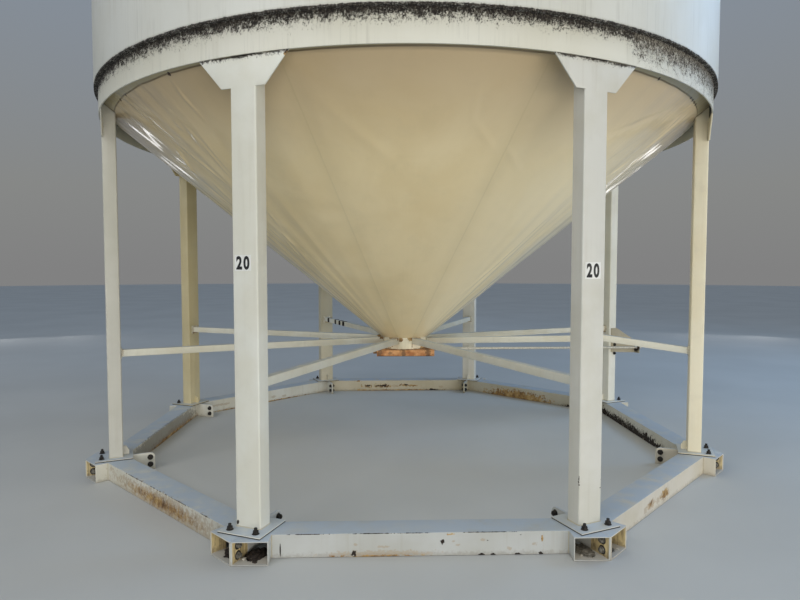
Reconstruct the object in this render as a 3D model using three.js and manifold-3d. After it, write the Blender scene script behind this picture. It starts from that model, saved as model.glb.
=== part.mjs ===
// Hopper-bottom grain silo on eight legs that stand on an octagonal base ring.
// Millimetres, +Z up. The origin is on the ground below the middle of the silo,
// and one flat side of the base ring faces -Y.
import * as THREE from "three";
import * as BufferGeometryUtils from "three/addons/utils/BufferGeometryUtils.js";
import Module from "manifold-3d";

const wasm = await Module();
wasm.setup();

// Counts and small clearances
const SIDE_COUNT = 8;
const HALF_SIDE_ANGLE = Math.PI / SIDE_COUNT;
const GAP = 0.3;
const RING_SEGMENTS = 96;
const PIPE_SEGMENTS = 48;
const ROD_SEGMENTS = 16;

// Base ring: hollow beams, each with a bolted web, an inner lug and an open box stub at its ends
const BEAM_HEIGHT = 125;
const BEAM_INNER_APOTHEM = 2080;
const BEAM_OUTER_APOTHEM = 2240;
const BEAM_WALL = 6;
const WEB_THICKNESS = 8;
const LUG_RADIUS = 2050;
const LUG_ROOT_RADIUS = 2300;
const LUG_TOP_ROUND = 35;
const STUB_RADIUS = 2515;
const STUB_SIDE = 772;

// Legs: rectangular section with a foot plate, a small toe gusset and a flared top plate
const LEG_WIDTH = 150;
const LEG_DEPTH = 92;
const LEG_CORNER = 5;
const LEG_FACE_RADIUS = 2358;
const FOOT_THICKNESS = 9.7;
const FOOT_INNER_RADIUS = 2200;
const FOOT_OUTER_RADIUS = 2446;
const FOOT_HALF_WIDTH = 128;
const TOE_LENGTH = 40;
const TOE_HEIGHT = 62;
const FLARE_THICKNESS = 8;
const FLARE_BOTTOM_HALF_WIDTH = 130;
const FLARE_TOP_HALF_WIDTH = 268;
const FLARE_BOTTOM = 2404;

// Round shell: skirt band below the wall, ledge, wall strakes, eave ring
const BAND_BOTTOM = 2560;
const BAND_RADIUS = 2374;
const BAND_THICKNESS = 8;
const LEDGE_BOTTOM = 2731;
const LEDGE_THICKNESS = 8;
const LEDGE_INNER_RADIUS = 2352;
const WALL_RADIUS = 2400;
const WALL_THICKNESS = 5;
const STRAKE_COUNT = 3;
const STRAKE_HEIGHT = 1500;
const EAVE_ANGLE_WIDTH = 46;
const EAVE_ANGLE_THICKNESS = 6;

// Hopper cone and its outlet
const CONE_TIP_RADIUS = 205;
const CONE_TIP_Z = 905;
const CONE_RISE = 0.8107;
const CONE_THICKNESS = 5;
const COLLAR_RADIUS = 204;
const COLLAR_WALL = 7;
const COLLAR_BOTTOM = 790;

// Struts from the outlet collar to the legs; the one on the right has been knocked upwards
const STRUT_SIZE = 50;
const STRUT_TOP = 904;
const STRUT_END_PLATE = { thickness: 6, width: 84, height: 78 };
const BENT_STRUT = 3;
const BEND = { axisZ: 858, kinkRadius: 1670, kinkZ: 949.5 };

// Slide gate under the outlet, with its pull rod and the rod's bracket
const GATE_HALF_SIZE = 242;
const GATE_FRAME_BOTTOM = 755;
const GATE_FRAME_TOP = 805;
const GATE_SHEET = 6;
const GATE_LEDGE_WIDTH = 32;
const GATE_LEDGE_TOP = 776.4;
const GATE_PLATE_THICKNESS = 8;
const GATE_PLATE_HALF_WIDTH = 229;
const GATE_PLATE_BACK = -272;
const GATE_PIN_X = 300;
const GATE_PIN_RADIUS = 7;
const TONGUE_HALF_WIDTH = 45;
const TONGUE_TIP = 14;
const ROD_RADIUS = 11;
const ROD_PIN_Z = 790;
const ROD_EYE_RADIUS = 22;
const ROD_EYE_THICKNESS = 10;
const ROD_TIP = 70;
const ROD_STOP = { radius: 20, length: 16, clearance: 14 };
const BRACKET_LEG_ANGLE = HALF_SIDE_ANGLE;
const BRACKET_THICKNESS = 8;
const BRACKET_ROOT_RADIUS = 2290;
const BRACKET_END_RADIUS = 2608;
const BRACKET_Z = { rootLow: 640, endLow: 620, endHigh: 746, rootHigh: 884 };
const GUIDE_OFFSET = 102;
const GUIDE_Z = 673;
const GUIDE_PLATE_REACH = 150;
const GUIDE_WINDOW = { halfWidth: 23, low: 660.5, high: 708 };

// Roof with its fill neck and lid
const ROOF_SLOPE = Math.tan(THREE.MathUtils.degToRad(30));
const ROOF_THICKNESS = 5;
const ROOF_EAVE_RADIUS = 2515;
const NECK_RADIUS = 300;
const NECK_WALL = 5;
const NECK_BELOW = 30;
const NECK_ABOVE = 165;
const LID_RADIUS = 330;
const LID_RIM = 42;
const LID_RISE = 55;

// Colours from the photograph
const PAINT = { color: 0xd9d4c0, roughness: 0.5, metalness: 0.0 };
const RUSTED = { color: 0xa9754f, roughness: 0.85, metalness: 0.1 };
const BRIGHT_STEEL = { color: 0xc9c8c2, roughness: 0.35, metalness: 0.8 };

const EAVE_Z = LEDGE_BOTTOM + LEDGE_THICKNESS + STRAKE_COUNT * (STRAKE_HEIGHT + GAP);
const LEG_BOTTOM = BEAM_HEIGHT + GAP;

const silo = new THREE.Group();

// Closed solid from a geometry, and back again
function toSolid(geometry) {
  const bare = geometry.index ? geometry.toNonIndexed() : geometry.clone();
  bare.deleteAttribute("normal");
  bare.deleteAttribute("uv");
  const merged = BufferGeometryUtils.mergeVertices(bare, 1e-3);
  return new wasm.Manifold(new wasm.Mesh({
    numProp: 3,
    vertProperties: new Float32Array(merged.attributes.position.array),
    triVerts: new Uint32Array(merged.index.array),
  }));
}

function toGeometry(solid) {
  const mesh = solid.getMesh();
  const geometry = new THREE.BufferGeometry();
  geometry.setAttribute("position", new THREE.BufferAttribute(mesh.vertProperties, 3));
  geometry.setIndex(new THREE.BufferAttribute(mesh.triVerts, 1));
  geometry.computeVertexNormals();
  return geometry;
}

function joined(first, ...others) {
  return others.reduce((sum, geometry) => sum.add(toSolid(geometry)), toSolid(first));
}

function addPiece(name, geometry, look, turn = 0) {
  const mesh = new THREE.Mesh(geometry, new THREE.MeshStandardMaterial(look));
  mesh.name = name;
  mesh.rotation.z = turn;
  silo.add(mesh);
  return mesh;
}

// Box between two corners
function boxBetween(low, high) {
  const size = high.map((value, axis) => value - low[axis]);
  const middle = high.map((value, axis) => (value + low[axis]) / 2);
  return new THREE.BoxGeometry(...size).translate(...middle);
}

// Plan outline, a list of [x, y], raised from one height to another
function slab(outline, low, high) {
  const shape = new THREE.Shape(outline.map(([x, y]) => new THREE.Vector2(x, y)));
  const depth = high - low;
  return new THREE.ExtrudeGeometry(shape, { depth, bevelEnabled: false }).translate(0, 0, low);
}

// Upright plate: an outline of [x, z] standing between two values of y
function uprightPlate(outline, lowY, highY) {
  const shape = outline instanceof THREE.Shape
    ? outline
    : new THREE.Shape(outline.map(([x, z]) => new THREE.Vector2(x, z)));
  const plate = new THREE.ExtrudeGeometry(shape, {
    depth: highY - lowY, bevelEnabled: false, curveSegments: 6,
  });
  return plate.rotateX(Math.PI / 2).translate(0, highY, 0);
}

// Solid of revolution about Z from a closed outline of [radius, z], anticlockwise
function turned(outline, segments) {
  const closed = [...outline, outline[0]];
  const points = closed.map(([radius, z]) => new THREE.Vector2(radius, z));
  return new THREE.LatheGeometry(points, segments).rotateX(Math.PI / 2);
}

function tube(outerRadius, wall, low, high, segments = RING_SEGMENTS) {
  const inner = outerRadius - wall;
  return turned([[inner, low], [outerRadius, low], [outerRadius, high], [inner, high]], segments);
}

function cylinder(radius, low, high, segments = ROD_SEGMENTS) {
  return new THREE.CylinderGeometry(radius, radius, high - low, segments)
    .rotateX(Math.PI / 2).translate(0, 0, (low + high) / 2);
}

// Height of the cone's outer surface at a distance from the axis
function coneZ(radius) {
  return CONE_TIP_Z + (radius - CONE_TIP_RADIUS) * CONE_RISE;
}

// Plan point of a beam's right end, in the beam's own frame with +Y outwards.
// r runs along the corner's radial line and t from that line towards the beam's middle.
function cornerPoint(r, t) {
  const sin = Math.sin(HALF_SIDE_ANGLE);
  const cos = Math.cos(HALF_SIDE_ANGLE);
  return [r * sin - t * cos, r * cos + t * sin];
}

// The same point where its line at a constant t reaches a given distance outwards
function cornerPointAt(outward, t) {
  const r = (outward - t * Math.sin(HALF_SIDE_ANGLE)) / Math.cos(HALF_SIDE_ANGLE);
  return cornerPoint(r, t);
}

// Mirrors half an outline about the beam's middle, so that both halves make one loop
function mirroredOutline(half) {
  return [...half, ...half.map(([x, y]) => [-x, y]).reverse()];
}

function beamSolid() {
  const seam = GAP / 2;
  const web = seam + WEB_THICKNESS;
  const mouth = cornerPoint(STUB_RADIUS, seam);
  const outside = mirroredOutline([
    cornerPointAt(BEAM_INNER_APOTHEM, seam),
    mouth,
    [STUB_SIDE, mouth[1]],
    [STUB_SIDE, BEAM_OUTER_APOTHEM],
  ]);
  const pastMouth = mouth[1] + BEAM_WALL;
  const inside = mirroredOutline([
    cornerPointAt(BEAM_INNER_APOTHEM + BEAM_WALL, web),
    cornerPointAt(pastMouth, web),
    [STUB_SIDE + BEAM_WALL, pastMouth],
    [STUB_SIDE + BEAM_WALL, BEAM_OUTER_APOTHEM - BEAM_WALL],
  ]);
  const hollow = toSolid(slab(inside, BEAM_WALL, BEAM_HEIGHT - BEAM_WALL));
  return joined(slab(outside, 0, BEAM_HEIGHT)).subtract(hollow);
}

// Flat lug that carries the web inwards past the beam, with a rounded top corner
function lugShape() {
  const shape = new THREE.Shape();
  shape.moveTo(LUG_RADIUS, 0);
  shape.lineTo(LUG_ROOT_RADIUS, 0);
  shape.lineTo(LUG_ROOT_RADIUS, BEAM_HEIGHT);
  shape.lineTo(LUG_RADIUS + LUG_TOP_ROUND, BEAM_HEIGHT);
  shape.absarc(LUG_RADIUS + LUG_TOP_ROUND, BEAM_HEIGHT - LUG_TOP_ROUND, LUG_TOP_ROUND,
    Math.PI / 2, Math.PI, false);
  return shape;
}

function addBaseRing() {
  const seam = GAP / 2;
  const lug = uprightPlate(lugShape(), seam, seam + WEB_THICKNESS);
  const right = lug.clone().rotateZ(Math.PI / 2 - HALF_SIDE_ANGLE);
  const left = lug.clone().translate(0, -2 * seam - WEB_THICKNESS, 0)
    .rotateZ(Math.PI / 2 + HALF_SIDE_ANGLE);
  const beam = beamSolid().add(toSolid(right)).add(toSolid(left));
  for (let index = 0; index < SIDE_COUNT; index += 1) {
    const turn = Math.PI + index * 2 * HALF_SIDE_ANGLE;
    addPiece(`base_beam_${index + 1}`, toGeometry(beam), PAINT, turn);
  }
}

// Angle of a leg from +X; leg 1 is at the front left and the numbers run anticlockwise
function legAngle(index) {
  return -5 * HALF_SIDE_ANGLE + index * 2 * HALF_SIDE_ANGLE;
}

// Leg along +X in its own frame: section, foot plate, toe gusset and flared top plate
function legSolid() {
  const inner = LEG_FACE_RADIUS - LEG_DEPTH;
  const half = LEG_WIDTH / 2;
  const cut = LEG_CORNER;
  const section = [
    [inner + cut, -half], [LEG_FACE_RADIUS - cut, -half], [LEG_FACE_RADIUS, cut - half],
    [LEG_FACE_RADIUS, half - cut], [LEG_FACE_RADIUS - cut, half], [inner + cut, half],
    [inner, half - cut], [inner, cut - half],
  ];
  const footTop = LEG_BOTTOM + FOOT_THICKNESS;
  const post = slab(section, LEG_BOTTOM, coneZ(LEG_FACE_RADIUS));
  const foot = boxBetween([FOOT_INNER_RADIUS, -FOOT_HALF_WIDTH, LEG_BOTTOM],
    [FOOT_OUTER_RADIUS, FOOT_HALF_WIDTH, footTop]);
  const toe = uprightPlate([
    [inner - TOE_LENGTH, LEG_BOTTOM], [inner + 1, LEG_BOTTOM], [inner + 1, footTop + TOE_HEIGHT],
    [inner - TOE_LENGTH / 2, footTop + TOE_HEIGHT], [inner - TOE_LENGTH, footTop + TOE_HEIGHT / 2],
  ], -WEB_THICKNESS / 2, WEB_THICKNESS / 2);
  const flareTop = BAND_BOTTOM - GAP;
  const flare = uprightPlate([
    [-FLARE_BOTTOM_HALF_WIDTH, FLARE_BOTTOM], [FLARE_BOTTOM_HALF_WIDTH, FLARE_BOTTOM],
    [FLARE_TOP_HALF_WIDTH, flareTop], [-FLARE_TOP_HALF_WIDTH, flareTop],
  ], -LEG_FACE_RADIUS, FLARE_THICKNESS - LEG_FACE_RADIUS).rotateZ(Math.PI / 2);
  const aboveCone = turned([
    [0, coneZ(0) - 2 * GAP], [BAND_RADIUS * 2, coneZ(BAND_RADIUS * 2) - 2 * GAP],
    [0, coneZ(BAND_RADIUS * 2)],
  ], RING_SEGMENTS).rotateZ(HALF_SIDE_ANGLE);
  return joined(post, foot, toe, flare).subtract(toSolid(aboveCone));
}

function addLegs() {
  const leg = legSolid();
  for (let index = 0; index < SIDE_COUNT; index += 1) {
    addPiece(`leg_${index + 1}`, toGeometry(leg), PAINT, legAngle(index));
  }
}

// Square strut along +X in its own frame, cut round to the outlet collar
function strutSolid(bent) {
  const outer = LEG_FACE_RADIUS - LEG_DEPTH - GAP;
  const half = STRUT_SIZE / 2;
  const plate = STRUT_END_PLATE;
  const middle = STRUT_TOP - half;
  const course = bent
    ? [[0, BEND.axisZ], [BEND.kinkRadius, BEND.kinkZ], [outer, middle]]
    : [[0, middle], [outer, middle]];
  const below = course.map(([x, z]) => [x, z - half]);
  const above = course.map(([x, z]) => [x, z + half]).reverse();
  const bar = uprightPlate([...below, ...above], -half, half);
  const end = boxBetween([outer - plate.thickness, -plate.width / 2, middle - plate.height / 2],
    [outer, plate.width / 2, middle + plate.height / 2]);
  const room = cylinder(COLLAR_RADIUS + GAP, 0, coneZ(0) + CONE_TIP_Z, PIPE_SEGMENTS);
  return joined(bar, end).subtract(toSolid(room));
}

function addStruts() {
  for (let index = 0; index < SIDE_COUNT; index += 1) {
    const strut = strutSolid(index + 1 === BENT_STRUT);
    addPiece(`strut_${index + 1}`, toGeometry(strut), PAINT, legAngle(index));
  }
}

function addHopper() {
  const rise = CONE_THICKNESS * Math.hypot(1, CONE_RISE);
  const topRadius = BAND_RADIUS - BAND_THICKNESS - GAP;
  const top = coneZ(topRadius);
  const cone = turned([
    [CONE_TIP_RADIUS - rise / CONE_RISE, CONE_TIP_Z], [CONE_TIP_RADIUS, CONE_TIP_Z],
    [topRadius, top], [topRadius, top + rise],
  ], RING_SEGMENTS);
  addPiece("hopper_cone", cone, PAINT);
  const collar = tube(COLLAR_RADIUS, COLLAR_WALL, COLLAR_BOTTOM, CONE_TIP_Z - GAP, PIPE_SEGMENTS);
  addPiece("outlet_collar", collar, PAINT);
}

// Fixed part of the slide gate: top sheet with the outlet's hole, and a side rail on each side
function addGateFrame() {
  const size = GATE_HALF_SIZE;
  const sheetBottom = GATE_FRAME_TOP - GATE_SHEET;
  const sheet = boxBetween([-size, -size, sheetBottom], [size, size, GATE_FRAME_TOP]);
  const rails = [-1, 1].flatMap((side) => {
    const outer = side * size;
    const web = side * (size - GATE_SHEET);
    const lip = side * (size - GATE_LEDGE_WIDTH);
    const span = (a, b, low, high) => boxBetween(
      [-size, Math.min(a, b), low], [size, Math.max(a, b), high]);
    return [
      span(outer, web, GATE_FRAME_BOTTOM, sheetBottom + 1),
      span(outer, lip, GATE_LEDGE_TOP - GATE_SHEET, GATE_LEDGE_TOP),
    ];
  });
  const hole = cylinder(COLLAR_RADIUS + GAP, 0, GATE_FRAME_TOP + GATE_SHEET, PIPE_SEGMENTS);
  addPiece("gate_frame", toGeometry(joined(sheet, ...rails).subtract(toSolid(hole))), RUSTED);
}

// Sliding plate with a tongue and an upright pin for the rod's eye
function addGatePlate() {
  const low = GATE_LEDGE_TOP + GAP;
  const high = low + GATE_PLATE_THICKNESS;
  const front = GATE_HALF_SIZE - GATE_LEDGE_WIDTH;
  const tip = GATE_PIN_X + TONGUE_TIP;
  const plate = slab([
    [GATE_PLATE_BACK, -GATE_PLATE_HALF_WIDTH], [front, -GATE_PLATE_HALF_WIDTH],
    [GATE_HALF_SIZE, -TONGUE_HALF_WIDTH], [tip, -TONGUE_TIP], [tip, TONGUE_TIP],
    [GATE_HALF_SIZE, TONGUE_HALF_WIDTH], [front, GATE_PLATE_HALF_WIDTH],
    [GATE_PLATE_BACK, GATE_PLATE_HALF_WIDTH],
  ], low, high);
  const eyeTop = ROD_PIN_Z + ROD_EYE_THICKNESS / 2;
  const pin = cylinder(GATE_PIN_RADIUS, low, eyeTop + GAP + 6).translate(GATE_PIN_X, 0, 0);
  const head = cylinder(GATE_PIN_RADIUS + 4, eyeTop + GAP, eyeTop + GAP + 6)
    .translate(GATE_PIN_X, 0, 0);
  addPiece("gate_plate", toGeometry(joined(plate, pin, head)), RUSTED);
}

// Middle of the rod's guide on the bracket
function guidePoint() {
  const radius = BRACKET_END_RADIUS - BRACKET_THICKNESS / 2;
  return new THREE.Vector3(radius, -GUIDE_OFFSET, GUIDE_Z)
    .applyAxisAngle(new THREE.Vector3(0, 0, 1), BRACKET_LEG_ANGLE);
}

// Pull rod from the gate's pin to just past the guide, falling slightly outwards
function addGateRod() {
  const toGuide = guidePoint().sub(new THREE.Vector3(GATE_PIN_X, 0, ROD_PIN_Z));
  const plan = Math.hypot(toGuide.x, toGuide.y);
  const fall = Math.atan2(-toGuide.z, plan);
  const reach = toGuide.length();
  const eyeHalf = ROD_EYE_THICKNESS / 2;
  const along = (radius, from, to) => cylinder(radius, from, to)
    .rotateY(Math.PI / 2).rotateY(fall);
  const rod = along(ROD_RADIUS, ROD_EYE_RADIUS - 2, reach + ROD_TIP);
  const stopFrom = reach + ROD_STOP.clearance;
  const stop = along(ROD_STOP.radius, stopFrom, stopFrom + ROD_STOP.length);
  const eye = cylinder(ROD_EYE_RADIUS, -eyeHalf, eyeHalf, 2 * ROD_SEGMENTS);
  const bore = cylinder(GATE_PIN_RADIUS + 0.5, -ROD_EYE_RADIUS, ROD_EYE_RADIUS);
  const solid = joined(eye, rod, stop).subtract(toSolid(bore));
  const mesh = addPiece("gate_rod", toGeometry(solid), BRIGHT_STEEL,
    Math.atan2(toGuide.y, toGuide.x));
  mesh.position.set(GATE_PIN_X, 0, ROD_PIN_Z);
}

// Tapered bracket on the leg's side, with a guide plate that the rod runs through
function addRodBracket() {
  const near = -LEG_WIDTH / 2 - GAP;
  const far = near - BRACKET_THICKNESS;
  const heights = BRACKET_Z;
  const arm = uprightPlate([
    [BRACKET_ROOT_RADIUS, heights.rootLow], [BRACKET_END_RADIUS, heights.endLow],
    [BRACKET_END_RADIUS, heights.endHigh], [LEG_FACE_RADIUS, heights.rootHigh],
    [BRACKET_ROOT_RADIUS, heights.rootHigh],
  ], far, near);
  const guide = boxBetween(
    [BRACKET_END_RADIUS - BRACKET_THICKNESS, -GUIDE_PLATE_REACH, heights.endLow],
    [BRACKET_END_RADIUS, near, heights.endHigh]);
  const window = boxBetween(
    [LEG_FACE_RADIUS, -GUIDE_OFFSET - GUIDE_WINDOW.halfWidth, GUIDE_WINDOW.low],
    [BRACKET_END_RADIUS + 1, far - GAP, GUIDE_WINDOW.high]);
  const solid = toSolid(arm).add(toSolid(guide).subtract(toSolid(window)));
  addPiece("rod_bracket", toGeometry(solid), PAINT, BRACKET_LEG_ANGLE);
}

function addShell() {
  const ledgeTop = LEDGE_BOTTOM + LEDGE_THICKNESS;
  addPiece("skirt_band",
    tube(BAND_RADIUS, BAND_THICKNESS, BAND_BOTTOM, LEDGE_BOTTOM - GAP), PAINT);
  addPiece("wall_ledge",
    tube(WALL_RADIUS, WALL_RADIUS - LEDGE_INNER_RADIUS, LEDGE_BOTTOM, ledgeTop), PAINT);
  for (let index = 0; index < STRAKE_COUNT; index += 1) {
    const low = ledgeTop + GAP + index * (STRAKE_HEIGHT + GAP);
    const strake = tube(WALL_RADIUS, WALL_THICKNESS, low, low + STRAKE_HEIGHT);
    addPiece(`wall_strake_${index + 1}`, strake, PAINT);
  }
  const ringInner = WALL_RADIUS + GAP;
  const ringOuter = ringInner + EAVE_ANGLE_THICKNESS;
  const lip = WALL_RADIUS - EAVE_ANGLE_WIDTH;
  const bottom = EAVE_Z - EAVE_ANGLE_WIDTH;
  addPiece("eave_ring", turned([
    [ringInner, bottom], [ringOuter, bottom], [ringOuter, EAVE_Z + EAVE_ANGLE_THICKNESS + GAP],
    [lip, EAVE_Z + EAVE_ANGLE_THICKNESS + GAP], [lip, EAVE_Z + GAP], [ringInner, EAVE_Z + GAP],
  ], RING_SEGMENTS), PAINT);
}

function addRoof() {
  const ringOuter = WALL_RADIUS + GAP + EAVE_ANGLE_THICKNESS;
  const ringTop = EAVE_Z + GAP + EAVE_ANGLE_THICKNESS;
  const underside = (radius) => ringTop + GAP + (ringOuter - radius) * ROOF_SLOPE;
  const rise = ROOF_THICKNESS * Math.hypot(1, ROOF_SLOPE);
  const holeRadius = NECK_RADIUS + 2 * GAP;
  addPiece("roof_cone", turned([
    [ROOF_EAVE_RADIUS, underside(ROOF_EAVE_RADIUS)],
    [ROOF_EAVE_RADIUS, underside(ROOF_EAVE_RADIUS) + rise],
    [holeRadius, underside(holeRadius) + rise], [holeRadius, underside(holeRadius)],
  ], RING_SEGMENTS), PAINT);
  const neckLow = underside(holeRadius) - NECK_BELOW;
  const neckTop = underside(holeRadius) + NECK_ABOVE;
  addPiece("fill_neck", tube(NECK_RADIUS, NECK_WALL, neckLow, neckTop, PIPE_SEGMENTS), PAINT);
  const seat = neckTop + GAP;
  addPiece("fill_lid", turned([
    [0, seat], [LID_RADIUS - NECK_WALL, seat], [LID_RADIUS - NECK_WALL, seat - LID_RIM],
    [LID_RADIUS, seat - LID_RIM], [LID_RADIUS, seat + NECK_WALL], [0, seat + LID_RISE],
  ], PIPE_SEGMENTS), PAINT);
}

addBaseRing();
addLegs();
addStruts();
addHopper();
addGateFrame();
addGatePlate();
addGateRod();
addRodBracket();
addShell();
addRoof();

export default silo;
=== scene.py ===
"""Looks of a free-standing grain silo: worn cream steel, buckled hopper cone, lichen and rust."""
from __future__ import annotations

import logging
import math
import random
from dataclasses import dataclass, replace
from enum import Enum
from functools import cached_property, reduce
from typing import ClassVar

import bmesh
import bpy
from mathutils import Matrix, Vector, noise

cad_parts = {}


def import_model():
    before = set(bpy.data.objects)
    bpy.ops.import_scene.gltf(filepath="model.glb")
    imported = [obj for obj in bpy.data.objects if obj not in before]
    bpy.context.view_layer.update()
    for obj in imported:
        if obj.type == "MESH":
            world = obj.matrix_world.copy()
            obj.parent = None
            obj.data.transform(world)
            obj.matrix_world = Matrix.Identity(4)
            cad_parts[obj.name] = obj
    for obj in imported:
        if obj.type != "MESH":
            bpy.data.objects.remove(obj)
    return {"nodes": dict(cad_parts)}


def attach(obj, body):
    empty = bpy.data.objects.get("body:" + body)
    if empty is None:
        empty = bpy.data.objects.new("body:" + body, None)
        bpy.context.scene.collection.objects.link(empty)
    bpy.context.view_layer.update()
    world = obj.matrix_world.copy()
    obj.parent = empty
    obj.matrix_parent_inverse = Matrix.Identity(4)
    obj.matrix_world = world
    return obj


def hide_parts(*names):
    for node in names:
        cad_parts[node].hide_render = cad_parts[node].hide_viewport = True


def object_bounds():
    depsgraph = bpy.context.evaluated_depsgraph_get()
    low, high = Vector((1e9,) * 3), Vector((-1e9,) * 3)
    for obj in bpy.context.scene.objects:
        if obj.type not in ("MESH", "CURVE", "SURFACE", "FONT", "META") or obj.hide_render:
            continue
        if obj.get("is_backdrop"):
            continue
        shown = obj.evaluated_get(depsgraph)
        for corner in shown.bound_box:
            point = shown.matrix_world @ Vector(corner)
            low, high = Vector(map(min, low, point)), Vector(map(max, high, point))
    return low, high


LOG = logging.getLogger("silo")
SIDES = 8
SECTOR = 2 * math.pi / SIDES
CORNERS = range(1, SIDES + 1)
ORIGIN = (0.0, 0.0, 0.0)
Colour = tuple[float, float, float]
Place = tuple[float, float, float]
Socket = bpy.types.NodeSocket
Sockets = bpy.types.bpy_prop_collection
Material = bpy.types.Material
Rows = tuple[tuple[object, ...], ...]


def srgb(red: int, green: int, blue: int) -> Colour:
    """Turns a display colour from 0 to 255 into the linear one that shaders use.

    Args:
        red: Red part.
        green: Green part.
        blue: Blue part.

    Returns:
        The linear colour.
    """
    parts = (value / 255 for value in (red, green, blue))
    return tuple(p / 12.92 if p <= 0.04045 else ((p + 0.055) / 1.055) ** 2.4 for p in parts)


def leg_turn(index: int) -> float:
    """Returns the angle from +X of leg 1 to 8, anticlockwise from the front left."""
    return math.radians(-112.5) + (index - 1) * SECTOR


def beam_turn(index: int) -> float:
    """Returns the angle from +X that base beam 1 to 8 faces, anticlockwise from the front."""
    return math.radians(-90) + (index - 1) * SECTOR


def turned_place(turn: float, outward: float, across: float, height: float) -> Vector:
    """Finds the point that a radial frame gives by distances outwards, across and up.

    Args:
        turn: Angle of the frame from +X.
        outward: Distance from the axis along the frame.
        across: Distance to the right, seen from outside.
        height: Height above the ground.

    Returns:
        The point in the object's frame.
    """
    return Matrix.Rotation(turn, 3, "Z") @ Vector((outward, across, height))


def upright(turn: float, outward: float, across: float, height: float) -> Matrix:
    """Returns the matrix that stands a shape at turned_place, turned with its frame."""
    spot = turned_place(turn, outward, across, height)
    return Matrix.Translation(spot) @ Matrix.Rotation(turn, 4, "Z")


class Graph:
    """Adds shader nodes to one node tree and joins them."""

    def __init__(self, tree: bpy.types.NodeTree) -> None:
        """Keeps the tree that the nodes go into."""
        self.tree = tree

    def add(self, kind: str, *values: object, **settings: object) -> bpy.types.Node:
        """Adds a node of a kind and feeds its inputs.

        Args:
            kind: Blender's name of the node type.
            *values: What goes into the inputs, in their order.
            **settings: Properties of the node.

        Returns:
            The new node.
        """
        node = self.tree.nodes.new(kind)
        for name, value in settings.items():
            setattr(node, name, value)
        for socket, value in zip(node.inputs, values):
            self.feed(socket, value)
        return node

    def feed(self, socket: Socket, value: object) -> None:
        """Joins a socket to another, or gives it a value.

        Args:
            socket: Input that is fed.
            value: Output socket, number, vector or colour.
        """
        if isinstance(value, Socket):
            self.tree.links.new(value, socket)
        else:
            socket.default_value = (*value, 1.0) if socket.type == "RGBA" else value

    def math(self, operation: str, *values: object, clamp: bool = False) -> Socket:
        """Adds a Math node and returns its result."""
        return self.add("ShaderNodeMath", *values, operation=operation, use_clamp=clamp).outputs[0]

    def times(self, first: object, second: object) -> Socket:
        """Multiplies two numbers."""
        return self.math("MULTIPLY", first, second)

    def plus(self, first: object, second: object) -> Socket:
        """Adds two numbers."""
        return self.math("ADD", first, second)

    def minus(self, first: object, second: object) -> Socket:
        """Takes the second number from the first."""
        return self.math("SUBTRACT", first, second)

    def scaled(self, value: object, scale: object, start: object, clamp: bool = False) -> Socket:
        """Multiplies a number and adds the result to a start."""
        return self.math("MULTIPLY_ADD", value, scale, start, clamp=clamp)

    def frayed(self, value: object, torn: object, amount: object) -> Socket:
        """Moves a value up and down by an amount of noise."""
        return self.scaled(self.minus(torn, 0.5), amount, value)

    def joined(self, masks: list[Socket]) -> Socket:
        """Lays masks over one another."""
        return reduce(lambda first, second: self.math("MAXIMUM", first, second), masks)

    def vectors(self, operation: str, *values: object) -> Socket:
        """Adds a Vector Math node and returns its vector, or the number where it gives one."""
        node = self.add("ShaderNodeVectorMath", *values, operation=operation)
        return node.outputs[1 if operation in ("LENGTH", "DOT_PRODUCT") else 0]

    def parts(self, vector: object) -> Sockets:
        """Splits a vector into its three numbers."""
        return self.add("ShaderNodeSeparateXYZ", vector).outputs

    def turned(self, vector: object, angle: object) -> Socket:
        """Turns a vector back by an angle about the silo's axis.

        Args:
            vector: Vector to turn.
            angle: Angle, anticlockwise from above, that is taken off.

        Returns:
            The turned vector.
        """
        node = self.add("ShaderNodeVectorRotate", vector, rotation_type="Z_AXIS")
        self.feed(node.inputs["Angle"], self.times(angle, -1.0))
        return node.outputs[0]

    def span(self, value: object, low: object, high: object) -> Socket:
        """Maps a value smoothly from between two limits to between 0 and 1."""
        return self.add("ShaderNodeMapRange", value, low, high, interpolation_type="SMOOTHSTEP",
                        clamp=True).outputs[0]

    def tint(self, tone: object, mask: object, colour: object, share: object = 1.0) -> Socket:
        """Lays a colour over another.

        Args:
            tone: Colour so far.
            mask: Where the new colour lies.
            colour: New colour.
            share: Strength of the new colour.

        Returns:
            The mixed colour.
        """
        factor = mask if share == 1.0 else self.times(mask, share)
        node = self.add("ShaderNodeMix", factor, data_type="RGBA")
        self.feed(node.inputs[6], tone)
        self.feed(node.inputs[7], colour)
        return node.outputs[2]

    def noise(self, vector: object, scale: float, detail: float = 3.0, roughness: float = 0.5,
              distortion: float = 0.0) -> Socket:
        """Adds a noise texture.

        Args:
            vector: Where the noise is read.
            scale: Lumps per metre.
            detail: Number of finer layers.
            roughness: Strength of the finer layers.
            distortion: How far the pattern is warped.

        Returns:
            The noise between 0 and 1.
        """
        node = self.add("ShaderNodeTexNoise", vector)
        for name, value in (("Scale", scale), ("Detail", detail), ("Roughness", roughness),
                            ("Distortion", distortion)):
            node.inputs[name].default_value = value
        return node.outputs[0]

    def ramp(self, value: object, *stops: tuple[float, Colour]) -> Socket:
        """Adds a colour ramp.

        Args:
            value: Value that picks the colour.
            *stops: Position and colour of each stop, in order.

        Returns:
            The colour.
        """
        node = self.add("ShaderNodeValToRGB", value)
        band = node.color_ramp
        while len(band.elements) < len(stops):
            band.elements.new(1.0)
        for element, (position, colour) in zip(band.elements, stops):
            element.position = position
            element.color = (*colour, 1.0)
        return node.outputs[0]


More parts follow.
